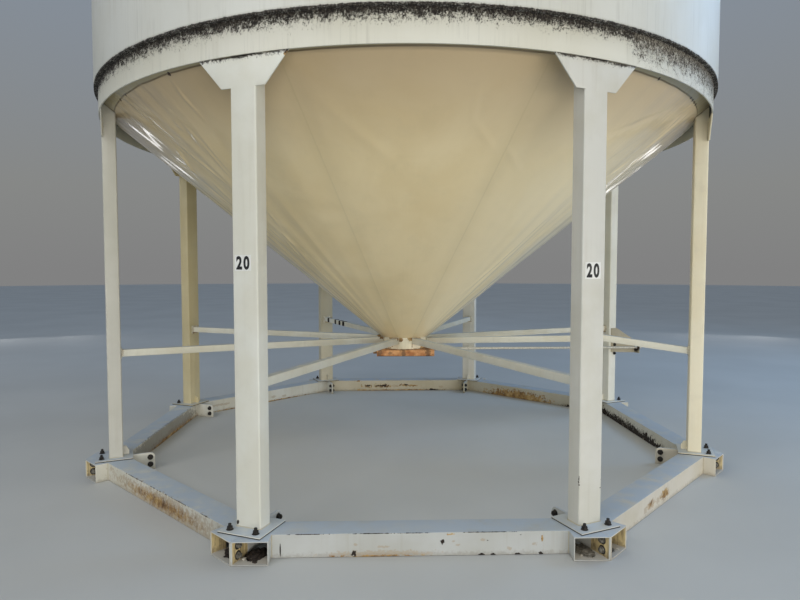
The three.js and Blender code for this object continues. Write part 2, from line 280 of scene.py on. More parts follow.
class Effect(Graph):
    """Shader node group with named inputs, the first of which is a place, and named outputs."""

    KINDS: ClassVar[dict[str, str]] = {"VALUE": "Float", "VECTOR": "Vector", "RGBA": "Color"}

    def __init__(self, name: str, **inputs: object) -> None:
        """Makes an empty group with its inputs.

        Args:
            name: Name of the group.
            **inputs: Starting value of each further input, a number or a vector.
        """
        super().__init__(bpy.data.node_groups.new(name, "ShaderNodeTree"))
        for label, value in {"Vector": ORIGIN, **inputs}.items():
            kind = "Vector" if isinstance(value, tuple) else "Float"
            socket = self.tree.interface.new_socket(name=label, in_out="INPUT",
                                                    socket_type=f"NodeSocket{kind}")
            socket.default_value = value
        self.given = self.add("NodeGroupInput").outputs
        self.where = self.given["Vector"]

    def give(self, **results: Socket) -> Effect:
        """Makes and feeds the outputs.

        Args:
            **results: What each output gives.

        Returns:
            The finished effect.
        """
        for label, result in results.items():
            self.tree.interface.new_socket(name=label, in_out="OUTPUT",
                                           socket_type=f"NodeSocket{self.KINDS[result.type]}")
        self.add("NodeGroupOutput", *results.values())
        return self


class EffectKit:
    """The effects that several finishes share, each built once."""

    @cached_property
    def rust(self) -> Effect:
        """Colour and height of rust."""
        effect = Effect("rust_tone")
        blotch = effect.noise(effect.where, 16, 5, 0.62)
        grain = effect.noise(effect.where, 120, 3, 0.6)
        tone = effect.ramp(blotch, (0.32, srgb(96, 71, 48)), (0.44, srgb(140, 109, 71)),
                           (0.55, srgb(176, 144, 92)), (0.68, srgb(200, 177, 132)))
        tone = effect.tint(tone, effect.span(grain, 0.5, 0.68), srgb(70, 50, 38), 0.35)
        return effect.give(Color=tone, Height=effect.scaled(grain, 0.5, blotch))

    @cached_property
    def spot(self) -> Effect:
        """Mask of one ragged spot that lies on a face of a turned piece."""
        effect = Effect("ragged_spot", Centre=ORIGIN, Turn=0.0, Reach=(0.1, 0.1, 0.1),
                        Ragged=0.8, Noise=0.5, Soft=0.22)
        given = effect.given
        offset = effect.vectors("SUBTRACT", effect.where, given["Centre"])
        scaled = effect.vectors("DIVIDE", effect.turned(offset, given["Turn"]), given["Reach"])
        near = effect.minus(1.0, effect.vectors("LENGTH", scaled))
        edge = effect.frayed(near, given["Noise"], effect.times(given["Ragged"], 3.0))
        return effect.give(Mask=effect.span(edge, 0.0, given["Soft"]))

    @cached_property
    def edge_chips(self) -> Effect:
        """Mask of paint that has chipped off along a piece's edges."""
        effect = Effect("edge_chips", Reach=0.008, Amount=0.1)
        rounded = effect.add("ShaderNodeBevel", effect.given["Reach"], samples=4).outputs[0]
        plain = effect.add("ShaderNodeNewGeometry").outputs["Normal"]
        edge = effect.span(effect.vectors("DOT_PRODUCT", rounded, plain), 0.99, 0.86)
        spread = effect.plus(effect.noise(effect.where, 24, 5, 0.7), effect.given["Amount"])
        return effect.give(Mask=effect.span(effect.times(edge, spread), 0.56, 0.66))

    @cached_property
    def runs(self) -> Effect:
        """Mask of dirt that has run down an upright face."""
        effect = Effect("dirt_runs", Finer=1.0)
        finer = effect.vectors("MULTIPLY", effect.where, effect.given["Finer"])
        narrow = effect.vectors("MULTIPLY", finer, (34.0, 34.0, 0.9))
        lines = effect.span(effect.noise(narrow, 1.0, 3, 0.6), 0.48, 0.78)
        patches = effect.span(effect.noise(finer, 2.2, 2), 0.4, 0.62)
        return effect.give(Mask=effect.times(lines, patches))

    @cached_property
    def lichen(self) -> Effect:
        """Dark lichen that grows down from an edge and ends in a ragged fringe."""
        effect = Effect("lichen_crust", Depth=0.0, Reach=0.06, Density=0.5, Paler=0.0)
        where, given = effect.where, effect.given
        tall = effect.vectors("MULTIPLY", where, (1.0, 1.0, 0.7))
        fine = effect.noise(where, 300, 2, 0.6)
        edge = effect.minus(1.0, effect.math("DIVIDE", given["Depth"], given["Reach"]))
        edge = effect.frayed(edge, effect.noise(where, 26, 3, 0.55), 1.5)
        edge = effect.frayed(edge, effect.noise(tall, 105, 3, 0.65), 2.2)
        edge = effect.frayed(edge, fine, 2.6)
        mask = effect.span(effect.plus(edge, given["Density"]), 0.46, 0.56)
        mixed = effect.scaled(effect.noise(where, 90, 4, 0.75), 0.6, effect.times(fine, 0.4))
        tone = effect.ramp(effect.plus(mixed, given["Paler"]), (0.42, srgb(27, 24, 21)),
                           (0.53, srgb(46, 40, 35)), (0.585, srgb(92, 84, 73)),
                           (0.64, srgb(168, 163, 150)))
        return effect.give(Mask=mask, Color=tone, Height=effect.times(mask, fine))

    @cached_property
    def paint_skin(self) -> Effect:
        """Height of the fine unevenness of sprayed paint, in metres."""
        effect = Effect("paint_skin", Coarse=1.0)
        peel = effect.times(effect.noise(effect.where, 330, 2, 0.5), 0.00005)
        total = effect.scaled(effect.noise(effect.where, 26, 3, 0.5), 0.0003, peel)
        return effect.give(Height=effect.times(total, effect.given["Coarse"]))

    @cached_property
    def corner(self) -> Effect:
        """Frame that is the same at all eight corners: outwards, across and up."""
        effect = Effect("corner_frame")
        parts = effect.parts(effect.where)
        turn = effect.math("ARCTAN2", parts[1], parts[0])
        steps = effect.math("DIVIDE", effect.minus(turn, SECTOR / 2), SECTOR)
        near = effect.scaled(effect.math("ROUND", steps), SECTOR, SECTOR / 2)
        return effect.give(Vector=effect.turned(effect.where, near))

    @cached_property
    def stub_room(self) -> Effect:
        """Mask of the inner faces of the open stubs, from a corner's own frame."""
        effect = Effect("stub_room", Wall=0.7745, Mouth=2.3195, Root=2.20, Floor=0.004,
                        Ceiling=0.1205)
        out, side, height = effect.parts(effect.where)
        across = effect.math("ABSOLUTE", side)
        sine, cosine = math.sin(SECTOR / 2), math.cos(SECTOR / 2)
        reach = effect.scaled(across, sine, effect.times(out, cosine))
        along = effect.minus(effect.times(out, sine), effect.times(across, cosine))
        mask = effect.math("GREATER_THAN", along, effect.given["Wall"])
        for test, value, limit in (("LESS_THAN", reach, "Mouth"), ("GREATER_THAN", reach, "Root"),
                                   ("GREATER_THAN", height, "Floor"),
                                   ("LESS_THAN", height, "Ceiling")):
            mask = effect.times(mask, effect.math(test, value, effect.given[limit]))
        return effect.give(Mask=mask)

    @cached_property
    def unrolled(self) -> Effect:
        """Angle in degrees and radius of a place on a round shell."""
        effect = Effect("unrolled_frame")
        parts = effect.parts(effect.where)
        flat = effect.vectors("MULTIPLY", effect.where, (1.0, 1.0, 0.0))
        turn = effect.math("ARCTAN2", parts[1], parts[0])
        return effect.give(Angle=effect.times(turn, 180 / math.pi),
                           Radius=effect.vectors("LENGTH", flat))


class Surface(Graph):
    """Graph of a new material, with its shader and its object coordinates."""

    kit: ClassVar[EffectKit]

    def __init__(self, name: str, metallic: float = 0.0, coat: float = 0.0,
                 coat_roughness: float = 0.12) -> None:
        """Makes the material.

        Args:
            name: Name of the material.
            metallic: Metallic value of the shader.
            coat: Weight of the clear coat.
            coat_roughness: Roughness of the clear coat.
        """
        self.material = bpy.data.materials.new(name)
        self.material.use_nodes = True
        super().__init__(self.material.node_tree)
        self.sockets = self.tree.nodes["Principled BSDF"].inputs
        self.sockets["Metallic"].default_value = metallic
        self.sockets["Coat Weight"].default_value = coat
        self.sockets["Coat Roughness"].default_value = coat_roughness
        self.where = self.add("ShaderNodeTexCoord").outputs["Object"]

    @cached_property
    def corner(self) -> Socket:
        """Place in the frame that is the same at all eight corners."""
        return self.place(self.kit.corner)["Vector"]

    @cached_property
    def level(self) -> Socket:
        """Height above the ground."""
        return self.parts(self.where)[2]

    def place(self, effect: Effect, **values: object) -> Sockets:
        """Places an effect's node group.

        Args:
            effect: Effect to place.
            **values: Inputs by name. Vector is the object coordinates if it isn't given.

        Returns:
            The group's outputs.
        """
        node = self.add("ShaderNodeGroup", node_tree=effect.tree)
        for name, value in {"Vector": self.where, **values}.items():
            self.feed(node.inputs[name], value)
        return node.outputs

    def finish(self, colour: object, roughness: object, height: object) -> Material:
        """Feeds the shader.

        Args:
            colour: Base colour.
            roughness: Roughness.
            height: Height of the surface in metres.

        Returns:
            The finished material.
        """
        bump = self.add("ShaderNodeBump")
        bump.inputs["Distance"].default_value = 1.0
        self.feed(bump.inputs["Height"], height)
        self.feed(self.sockets["Base Color"], colour)
        self.feed(self.sockets["Roughness"], roughness)
        self.feed(self.sockets["Normal"], bump.outputs[0])
        return self.material


class MarkKind(Enum):
    """What a mark on the paint is made of."""

    RUST = "rust"
    CHIP = "chip"
    STAIN = "stain"
    # Dark film: partly dirt, partly painted shade on faces that lie in shade.
    GRIME_AND_SHADE = "grime"


RUST, CHIP, STAIN, GRIME_AND_SHADE = MarkKind


@dataclass(frozen=True)
class Mark:
    """Rust, a chip or a stain on a face, placed outwards, across and up from the axis."""

    turn: float
    centre: Place
    reach: tuple[float, float]
    kind: MarkKind = RUST
    ragged: float = 0.8
    deep: float = 0.03
    soft: float = 0.22

    def mask(self, graph: Surface, where: object, torn: object) -> Socket:
        """Adds the mark's mask to a material.

        Args:
            graph: The material's graph.
            where: Coordinates that the mark lies in.
            torn: Noise that tears the mark's edge.

        Returns:
            The mask.
        """
        centre = turned_place(self.turn, *self.centre)
        return graph.place(graph.kit.spot, Vector=where, Centre=tuple(centre), Turn=self.turn,
                           Reach=(self.deep, *self.reach), Ragged=self.ragged, Noise=torn,
                           Soft=self.soft)["Mask"]


@dataclass(frozen=True)
class PaintedSteel:
    """Cream enamel on structural steel, with runs, dust, chips and placed marks; the dust is tinted
    blue-grey as painted sky light, and a near-black band low down is a painted gap shadow.
    """

    name: str
    paint: Colour
    second: Colour
    roughness: float = 0.5
    runs: float = 0.1
    chips: float = 0.06
    chip_reach: float = 0.007
    # Share of blue-grey on upward faces: dust, and painted sky light on the tops.
    dust_and_sky_tint: float = 0.0
    splash: float = 0.0
    splash_share: float = 0.0
    # Height below which a near-black painted shadow is laid: the gap under a foot plate.
    painted_gap_shadow_below: float | None = None
    moss_top: float | None = None
    moss_reach: float = 0.022
    moss_past: float = 0.0
    marks: tuple[Mark, ...] = ()
    corner_marks: tuple[Mark, ...] = ()
    stubs: bool = False

    def material(self) -> Material:
        """Builds the finish.

        Returns:
            The material.
        """
        graph = Surface(self.name)
        where, kit = graph.where, graph.kit
        cloud = graph.noise(where, 2.6, 4, 0.55)
        torn = graph.noise(where, 42, 5, 0.68)
        tone = graph.tint(self.paint, graph.span(cloud, 0.36, 0.64), self.second)
        grey = graph.span(graph.noise(where, 9, 5, 0.6), 0.5, 0.75)
        tone = graph.tint(tone, grey, srgb(176, 173, 164), 0.12)
        tone = graph.tint(tone, graph.place(kit.runs)["Mask"], srgb(150, 136, 108), self.runs)
        tone = self._dirt(graph, torn, tone)
        if self.stubs:
            tone = self._stub_inside(graph, torn, tone)
        rust = graph.place(kit.rust)
        worn = graph.place(kit.edge_chips, Reach=self.chip_reach, Amount=self.chips)["Mask"]
        found = {kind: [] for kind in MarkKind}
        found[RUST].append(worn)
        for mark in self.marks:
            found[mark.kind].append(mark.mask(graph, where, torn))
        for mark in self.corner_marks:
            found[mark.kind].append(mark.mask(graph, graph.corner, torn))
        masks = {kind: graph.joined(held) for kind, held in found.items() if held}
        bare = graph.joined([masks[kind] for kind in (RUST, CHIP) if kind in masks])
        # GRIME_AND_SHADE lays a dark film that is partly dirt, partly painted shade.
        for kind, colour, share in ((STAIN, srgb(168, 146, 116), 0.5),
                                    (GRIME_AND_SHADE, srgb(92, 86, 76), 0.6), (RUST, rust["Color"], 1.0),
                                    (CHIP, srgb(44, 36, 31), 1.0)):
            if kind in masks:
                tone = graph.tint(tone, masks[kind], colour, share)
        if self.moss_top is not None:
            moss = graph.place(kit.lichen, Depth=graph.minus(self.moss_top, graph.level),
                               Reach=self.moss_reach, Density=0.0)
            front = graph.math("GREATER_THAN", graph.parts(graph.corner)[0], self.moss_past)
            tone = graph.tint(tone, moss["Mask"], moss["Color"], front)
        sunk = graph.scaled(bare, -0.0006, graph.place(kit.paint_skin)["Height"])
        height = graph.scaled(graph.times(bare, rust["Height"]), 0.0011, sunk)
        matt = graph.scaled(graph.span(cloud, 0.3, 0.7), 0.1, self.roughness)
        return graph.finish(tone, graph.scaled(bare, 0.42, matt, clamp=True), height)

    def _dirt(self, graph: Surface, torn: Socket, tone: Socket) -> Socket:
        """Lays dust, tinted blue-grey as painted sky light, on faces that look up, splashed dirt
        near the ground, and a painted shadow under a given height.

        Args:
            graph: The material's graph.
            torn: Fine noise.
            tone: Colour so far.

        Returns:
            The dirtied colour.
        """
        facing = graph.parts(graph.add("ShaderNodeNewGeometry").outputs["Normal"])[2]
        # Blue-grey on upward faces: partly dust, partly painted sky light.
        patchy = graph.span(graph.noise(graph.where, 7, 5, 0.62), 0.16, 0.6)
        dust_and_sky_mask = graph.times(graph.span(facing, 0.6, 0.95), patchy)
        tone = graph.tint(tone, dust_and_sky_mask, srgb(178, 190, 203), self.dust_and_sky_tint)
        if self.splash > 0:
            low = graph.span(graph.frayed(graph.level, torn, 0.09), self.splash, 0.0)
            tone = graph.tint(tone, low, srgb(126, 114, 96), self.splash_share)
        # Painted shadow: near-black below the given height, where a plate stands over a gap.
        if self.painted_gap_shadow_below is not None:
            under = graph.span(graph.level, self.painted_gap_shadow_below + 0.0004, self.painted_gap_shadow_below - 0.0004)
            tone = graph.tint(tone, under, srgb(34, 31, 29))
        return tone

    @staticmethod
    def _stub_inside(graph: Surface, torn: Socket, tone: Socket) -> Socket:
        """Yellows the inside of the open stubs, with dark runs and a grey floor made pale as painted
        light.

        Args:
            graph: The material's graph.
            torn: Fine noise.
            tone: Colour so far.

        Returns:
            The colour with the stubs' inside.
        """
        thin = graph.vectors("MULTIPLY", graph.where, (1.0, 1.0, 0.12))
        runs = graph.span(graph.noise(thin, 75, 3, 0.6), 0.46, 0.66)
        wet = graph.span(graph.frayed(graph.level, torn, 0.12), 0.05, 0.012)
        room = graph.tint(srgb(204, 184, 136), runs, srgb(98, 80, 54), 0.7)
        room = graph.tint(room, wet, srgb(88, 76, 60), 0.5)
        # Pale grey stub floor, made paler as painted light where little light reaches in.
        room = graph.tint(room, graph.span(graph.level, 0.0085, 0.0065), srgb(176, 172, 163))
        room = graph.tint(room, graph.span(graph.level, 0.116, 0.1186), srgb(112, 82, 58), 0.7)
        inside = graph.place(graph.kit.stub_room, Vector=graph.corner)["Mask"]
        return graph.tint(tone, inside, room)


@dataclass(frozen=True)
class ConePaint:
    """Glossy yellowed enamel on the hopper's thin sheets, with their seams and the lap line, painted
    light on the right side and painted shade at the top under the skirt.
    """

    name: str = "hopper_enamel"
    paint: Colour = srgb(240, 222, 179)
    second: Colour = srgb(233, 213, 167)
    # Brown over the cone's top under the skirt: painted shade.
    painted_shade_top: Colour = srgb(174, 148, 116)
    # Paler tone over the cone's right side: painted light, where more light falls.
    painted_light_right: Colour = srgb(255, 242, 206)
    first_seam: float = -108.7
    seam_step: float = 36.0
    lap_radius: float = 2.275
    stitch_height: float = 2.583
    stitch_size: float = 0.012
    stitches: tuple[tuple[float, float], ...] = (
        (-155.5, 2.274), (-155.0, 2.274), (-146.4, 2.272), (-143.0, 2.274), (-38.0, 2.276),
        (-36.5, 2.276), (-35.0, 2.276), (-33.4, 2.276), (-21.0, 2.272), (-128.0, 2.274),
        (-120.5, 2.274), (-60.4, 2.274), (-52.0, 2.274))

    def material(self) -> Material:
        """Builds the finish.

        Returns:
            The material.
        """
        graph = Surface(self.name, coat=0.7, coat_roughness=0.07)
        graph.sockets["Specular IOR Level"].default_value = 0.12
        where = graph.where
        shell = graph.place(graph.kit.unrolled)
        angle, radius = shell["Angle"], shell["Radius"]
        cloud = graph.noise(where, 1.7, 4, 0.55, 0.4)
        mottle = graph.span(graph.noise(where, 7, 5, 0.6), 0.48, 0.7)
        steps = graph.math("DIVIDE", graph.minus(angle, self.first_seam), self.seam_step)
        off = graph.math("ABSOLUTE", graph.minus(steps, graph.math("ROUND", steps)))
        away = graph.times(graph.times(off, math.radians(self.seam_step)), radius)
        line = graph.span(away, 0.008, 0.002)
        rim = graph.span(radius, self.lap_radius - 0.001, self.lap_radius + 0.002)
        gap = graph.math("ABSOLUTE", graph.minus(radius, self.lap_radius))
        tone = graph.tint(self.paint, graph.span(cloud, 0.34, 0.66), self.second)
        # The right side is lightened as painted light, and the top under the skirt is browned as
        # painted shade.
        for mask, colour, share in (
                (mottle, srgb(184, 176, 146), 0.07),
                (graph.span(angle, -94.0, -42.0), self.painted_light_right, 0.82),
                (graph.span(graph.level, 2.05, 2.66), self.painted_shade_top, 0.68),
                (graph.span(away, 0.10, 0.0), srgb(180, 166, 126), 0.10),
                (line, srgb(160, 148, 112), 0.10), (rim, srgb(176, 170, 132), 0.55),
                (graph.span(gap, 0.005, 0.001), srgb(96, 82, 58), 0.65),
                (self._stitches(graph), srgb(62, 44, 30), 1.0)):
            tone = graph.tint(tone, mask, colour, share)
        skin = graph.place(graph.kit.paint_skin, Coarse=0.35)["Height"]
        height = graph.scaled(graph.noise(where, 5.5, 2, 0.45), 0.0022, skin)
        height = graph.plus(graph.scaled(line, 0.0003, height),
                            self._stretched(graph, angle, radius))
        rough = graph.scaled(graph.span(cloud, 0.3, 0.7), 0.08, 0.28)
        return graph.finish(tone, rough, height)

    def _stitches(self, graph: Surface) -> Socket:
        """Adds the mask of the rusty stitch welds along the lap.

        Args:
            graph: The material's graph.

        Returns:
            The mask.
        """
        torn = graph.noise(graph.where, 46, 5, 0.7)
        return graph.joined([
            Mark(math.radians(degrees), (out, 0.0, self.stitch_height), (self.stitch_size,) * 2,
                 deep=self.stitch_size).mask(graph, graph.where, torn)
            for degrees, out in self.stitches])

    @staticmethod
    def _stretched(graph: Surface, angle: Socket, radius: Socket) -> Socket:
        """Builds the long waves that run down the sheets at the cone's flanks.

        Args:
            graph: The material's graph.
            angle: Angle in degrees.
            radius: Distance from the axis.

        Returns:
            The waves' height in metres.
        """
        flat = graph.vectors("MULTIPLY", graph.where, (1.0, 1.0, 0.0))
        spread = graph.vectors("MULTIPLY", graph.vectors("NORMALIZE", flat), (42.0, 42.0, 42.0))
        lift = graph.add("ShaderNodeCombineXYZ", 0.0, 0.0, radius).outputs[0]
        waves = graph.noise(graph.vectors("ADD", spread, lift), 1.0, 2.0, 0.45)
        side = graph.math("ABSOLUTE", graph.plus(angle, 90.0))
        flank = graph.scaled(graph.span(side, 30.0, 58.0), 0.94, 0.06)
        return graph.times(graph.times(waves, 0.0125), flank)


@dataclass(frozen=True)
class ShellPaint:
    """Off-white enamel of the wall and skirt, with lichen that grows down from the ledge."""

    name: str
    paint: Colour = srgb(209, 209, 202)
    second: Colour = srgb(202, 201, 191)
    lichen_top: float | None = None
    lichen_below: tuple[tuple[float, float], ...] = ((0.0, 0.05), (1.0, 0.05))
    density: float = 0.15
    rising: bool = False
    runs: float = 0.3
    paler: float = 0.075

    def material(self) -> Material:
        """Builds the finish.

        Returns:
            The material.
        """
        graph = Surface(self.name)
        cloud = graph.noise(graph.where, 1.4, 4, 0.55)
        tone = graph.tint(self.paint, graph.span(cloud, 0.36, 0.64), self.second)
        for finer, colour in ((0.7, srgb(168, 160, 140)), (2.6, srgb(146, 144, 134))):
            run = graph.place(graph.kit.runs, Finer=finer)["Mask"]
            tone = graph.tint(tone, run, colour, self.runs)
        height = graph.place(graph.kit.paint_skin)["Height"]
        matt = graph.scaled(cloud, 0.05, 0.42)
        if self.lichen_top is not None:
            depth = graph.minus(self.lichen_top, graph.level)
            if self.rising:
                depth = graph.math("ABSOLUTE", depth)
            around = graph.scaled(graph.place(graph.kit.unrolled)["Angle"], 1 / 360, 0.5)
            reach = graph.ramp(around, *((at, (deep,) * 3) for at, deep in self.lichen_below))
            paler = graph.times(graph.span(reach, 0.09, 0.14), self.paler)
            moss = graph.place(graph.kit.lichen, Depth=depth, Reach=reach, Density=self.density,
                               Paler=paler)
            share = graph.times(graph.span(reach, 0.14, 0.06), 0.26)
            under = graph.span(graph.math("DIVIDE", depth, reach), 2.4, 0.4)
            tone = graph.tint(tone, under, srgb(150, 142, 120), share)
            tone = graph.tint(tone, moss["Mask"], moss["Color"])
            height = graph.scaled(moss["Height"], 0.004, height)
            matt = graph.scaled(moss["Mask"], 0.45, matt, clamp=True)
        return graph.finish(tone, matt, height)


@dataclass(frozen=True)
class RawSteel:
    """Unpainted or rusted steel, also used for bolts, welds and the pull rod."""

    name: str
    light: Colour
    dark: Colour
    rust_share: float
    roughness: float
    metallic: float
    coarse: float = 1.0

    def material(self) -> Material:
        """Builds the finish.

        Returns:
            The material.
        """
        graph = Surface(self.name, metallic=self.metallic)
        where = graph.where
        cloud = graph.span(graph.noise(where, 60, 4, 0.6), 0.35, 0.65)
        rust = graph.place(graph.kit.rust)
        least = 0.78 - self.rust_share * 0.6
        eaten = graph.span(graph.noise(where, 20, 5, 0.65), least, least + 0.08)
        tone = graph.tint(graph.tint(self.light, cloud, self.dark), eaten, rust["Color"])
        fine = graph.times(graph.noise(where, 240, 3, 0.6), 0.0003 * self.coarse)
        pits = graph.times(eaten, rust["Height"])
        rough = graph.scaled(eaten, 0.3, self.roughness, clamp=True)
        return graph.finish(tone, rough, graph.scaled(pits, 0.0012 * self.coarse, fine))


@dataclass(frozen=True)
class GateRust:
    """Smooth orange rust on the slide gate's frame, with brown patches and a dark lower edge."""

    name: str = "gate_rust"
    light: Colour = srgb(230, 173, 118)
    dark: Colour = srgb(174, 114, 68)
    brown: Colour = srgb(92, 66, 46)
    patches: tuple[float, ...] = (-0.218, -0.019, 0.187)
    low: float = 0.752

    def material(self) -> Material:
        """Builds the finish.

        Returns:
            The material.
        """
        graph = Surface(self.name)
        where = graph.where
        cloud = graph.noise(where, 13, 4, 0.55)
        torn = graph.noise(where, 60, 4, 0.65)
        tone = graph.tint(self.light, graph.span(cloud, 0.36, 0.66), self.dark)
        spots = graph.span(graph.noise(where, 30, 4, 0.7), 0.52, 0.64)
        tone = graph.tint(tone, spots, srgb(112, 80, 54), 0.6)
        across = graph.parts(where)[0]
        for middle in self.patches:
            off = graph.math("ABSOLUTE", graph.minus(across, middle))
            patch = graph.span(graph.frayed(off, torn, 0.08), 0.028, 0.008)
            tone = graph.tint(tone, patch, self.brown, 0.75)
        edge = graph.frayed(graph.minus(graph.level, self.low), torn, 0.012)
        tone = graph.tint(tone, graph.span(edge, 0.010, 0.003), srgb(52, 38, 30), 0.8)
        return graph.finish(tone, graph.scaled(cloud, 0.15, 0.72), graph.times(torn, 0.0006))


@dataclass(frozen=True)
class Soil:
    """Loose dirt, grit and dust."""

    name: str
    light: Colour
    dark: Colour
    grain: float = 90.0
    rough: float = 0.95

    def material(self) -> Material:
        """Builds the finish.

        Returns:
            The material.
        """
        graph = Surface(self.name)
        lumps = graph.noise(graph.where, self.grain, 5, 0.7)
        tone = graph.tint(self.dark, graph.span(lumps, 0.38, 0.66), self.light)
        return graph.finish(tone, self.rough, graph.times(lumps, 0.003))


@dataclass(frozen=True)
class Look:
    """Finish of a piece, the name of its material slot and the body that it rides on."""

    material: Material
    slot: str = "cream_paint"
    body: str = "silo"
    smooth_below: float = 35.0


class Piece:
    """Turns bmeshes and curves into finished pieces that ride on a body."""

    nodes: ClassVar[dict[str, bpy.types.Object]]

    @staticmethod
    def finish(name: str, mesh: bpy.types.Mesh, look: Look, *stands_for: str) -> None:
        """Makes the object of a mesh, hangs it on its body and hides the frame nodes that it
        replaces.

        Args:
            name: Name of the piece.
            mesh: Its mesh, in the object's frame.
            look: Its finish, slot and body.
            *stands_for: Frame nodes that it replaces.
        """
        mesh.name = name
        mesh.materials.clear()
        mesh.materials.append(look.material)
        mesh.shade_smooth()
        mesh.set_sharp_from_angle(angle=math.radians(look.smooth_below))
        piece = bpy.data.objects.new(name, mesh)
        bpy.context.scene.collection.objects.link(piece)
        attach(piece, look.body)
        if stands_for:
            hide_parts(*stands_for)
        LOG.info("%s: %d faces", name, len(mesh.polygons))

    @classmethod
    def from_bmesh(cls, name: str, bm: bmesh.types.BMesh, look: Look, *stands_for: str) -> None:
        """Makes a piece of a bmesh and frees it.

        Args:
            name: Name of the piece.
            bm: Its shape.
            look: Its finish, slot and body.
            *stands_for: Frame nodes that it replaces.
        """
        mesh = bpy.data.meshes.new(name)
        bm.to_mesh(mesh)
        bm.free()
        cls.finish(name, mesh, look, *stands_for)

    @classmethod
    def worn(cls, name: str, node: str, radius: float, look: Look) -> None:
        """Makes a piece of a frame node, with its sharp edges rounded.

        Args:
            name: Name of the piece.
            node: Name of the frame node, which it replaces.
            radius: Width of the rounding in metres.
            look: Its finish, slot and body.
        """
        bm = bmesh.new()
        bm.from_mesh(cls.nodes[node].data)
        bmesh.ops.remove_doubles(bm, verts=bm.verts, dist=2e-5)
        bmesh.ops.dissolve_limit(bm, angle_limit=math.radians(1), verts=bm.verts, edges=bm.edges)
        sharp = [edge for edge in bm.edges
                 if edge.is_manifold and edge.calc_face_angle(0.0) > math.radians(25)]
        bmesh.ops.bevel(bm, geom=sharp, offset=radius, offset_type="OFFSET", affect="EDGES",
                        segments=2, profile=0.5, material=-1, clamp_overlap=True)
        cls.from_bmesh(name, bm, look, node)

    @classmethod
    def ring(cls, name: str, node: str, radii: tuple[float, float], heights: tuple[float, float],
             steps: int, look: Look, cuts: int = 0) -> None:
        """Makes a plain round ring in place of a frame node.

        Args:
            name: Name of the piece.
            node: Name of the frame node, which it replaces.
            radii: Inner and outer radius.
            heights: Lower and upper height.
            steps: Number of segments round the axis.
            look: Its finish, slot and body.
            cuts: Number of cuts in its outer side.
        """
        (inner, outer), (low, top) = radii, heights
        bm = cls.turned([(inner, low), (outer, low), (outer, top), (inner, top)], steps,
                        [0, cuts, 0, 0])
        cls.from_bmesh(name, bm, look, node)

    @staticmethod
    def turned(outline: list[tuple[float, float]], steps: int,
               cuts: list[int] | None = None) -> bmesh.types.BMesh:
        """Spins a closed outline of radius and height about the axis.

        Args:
            outline: Points of the outline in order.
            steps: Number of segments round the axis.
            cuts: Number of cuts in each side of the outline.

        Returns:
            The closed shape, facing outwards.
        """
        bm = bmesh.new()
        verts = [bm.verts.new((radius, 0.0, height)) for radius, height in outline]
        sides = [bm.edges.new((first, second))
                 for first, second in zip(verts, verts[1:] + verts[:1])]
        for side, count in zip(sides, cuts or []):
            if count:
                bmesh.ops.subdivide_edges(bm, edges=[side], cuts=count)
        bmesh.ops.spin(bm, geom=bm.verts[:] + bm.edges[:], cent=(0, 0, 0), axis=(0, 0, 1),
                       angle=2 * math.pi, steps=steps, use_merge=True, use_duplicate=False)
        bmesh.ops.remove_doubles(bm, verts=bm.verts, dist=1e-5)
        bmesh.ops.recalc_face_normals(bm, faces=bm.faces)
        return bm

    @classmethod
    def weld(cls, name: str, paths: list[list[Vector]], radius: float, look: Look, seed: int,
             pitch: float = 0.006, closed: bool = False, sides: int = 1) -> None:
        """Makes a piece of rippled weld beads along paths.

        Args:
            name: Name of the piece.
            paths: Corner points of each bead.
            radius: Half the bead's width.
            look: Its finish, slot and body.
            seed: Seed of the ripples.
            pitch: Distance between ripples.
            closed: Whether each path returns to its start.
            sides: Bevel resolution of the bead.
        """
        rng = random.Random(seed)
        curve = bpy.data.curves.new(name, "CURVE")
        curve.dimensions = "3D"
        curve.bevel_depth = radius
        curve.bevel_resolution = sides
        curve.use_fill_caps = True
        for path in paths:
            ends = path[1:] + path[:1] if closed else path[1:]
            points = []
            for start, end in zip(path, ends):
                count = max(1, round((end - start).length / pitch))
                points += [start.lerp(end, step / count) for step in range(count)]
            if not closed:
                points.append(path[-1])
            spline = curve.splines.new("POLY")
            spline.points.add(len(points) - 1)
            spline.use_cyclic_u = closed
            for slot, point in zip(spline.points, points):
                slot.co = (*point, 1.0)
                slot.radius = rng.uniform(0.72, 1.18)
        holder = bpy.data.objects.new(name, curve)
        mesh = bpy.data.meshes.new_from_object(holder)
        bpy.data.objects.remove(holder)
        bpy.data.curves.remove(curve)
        cls.finish(name, mesh, look)

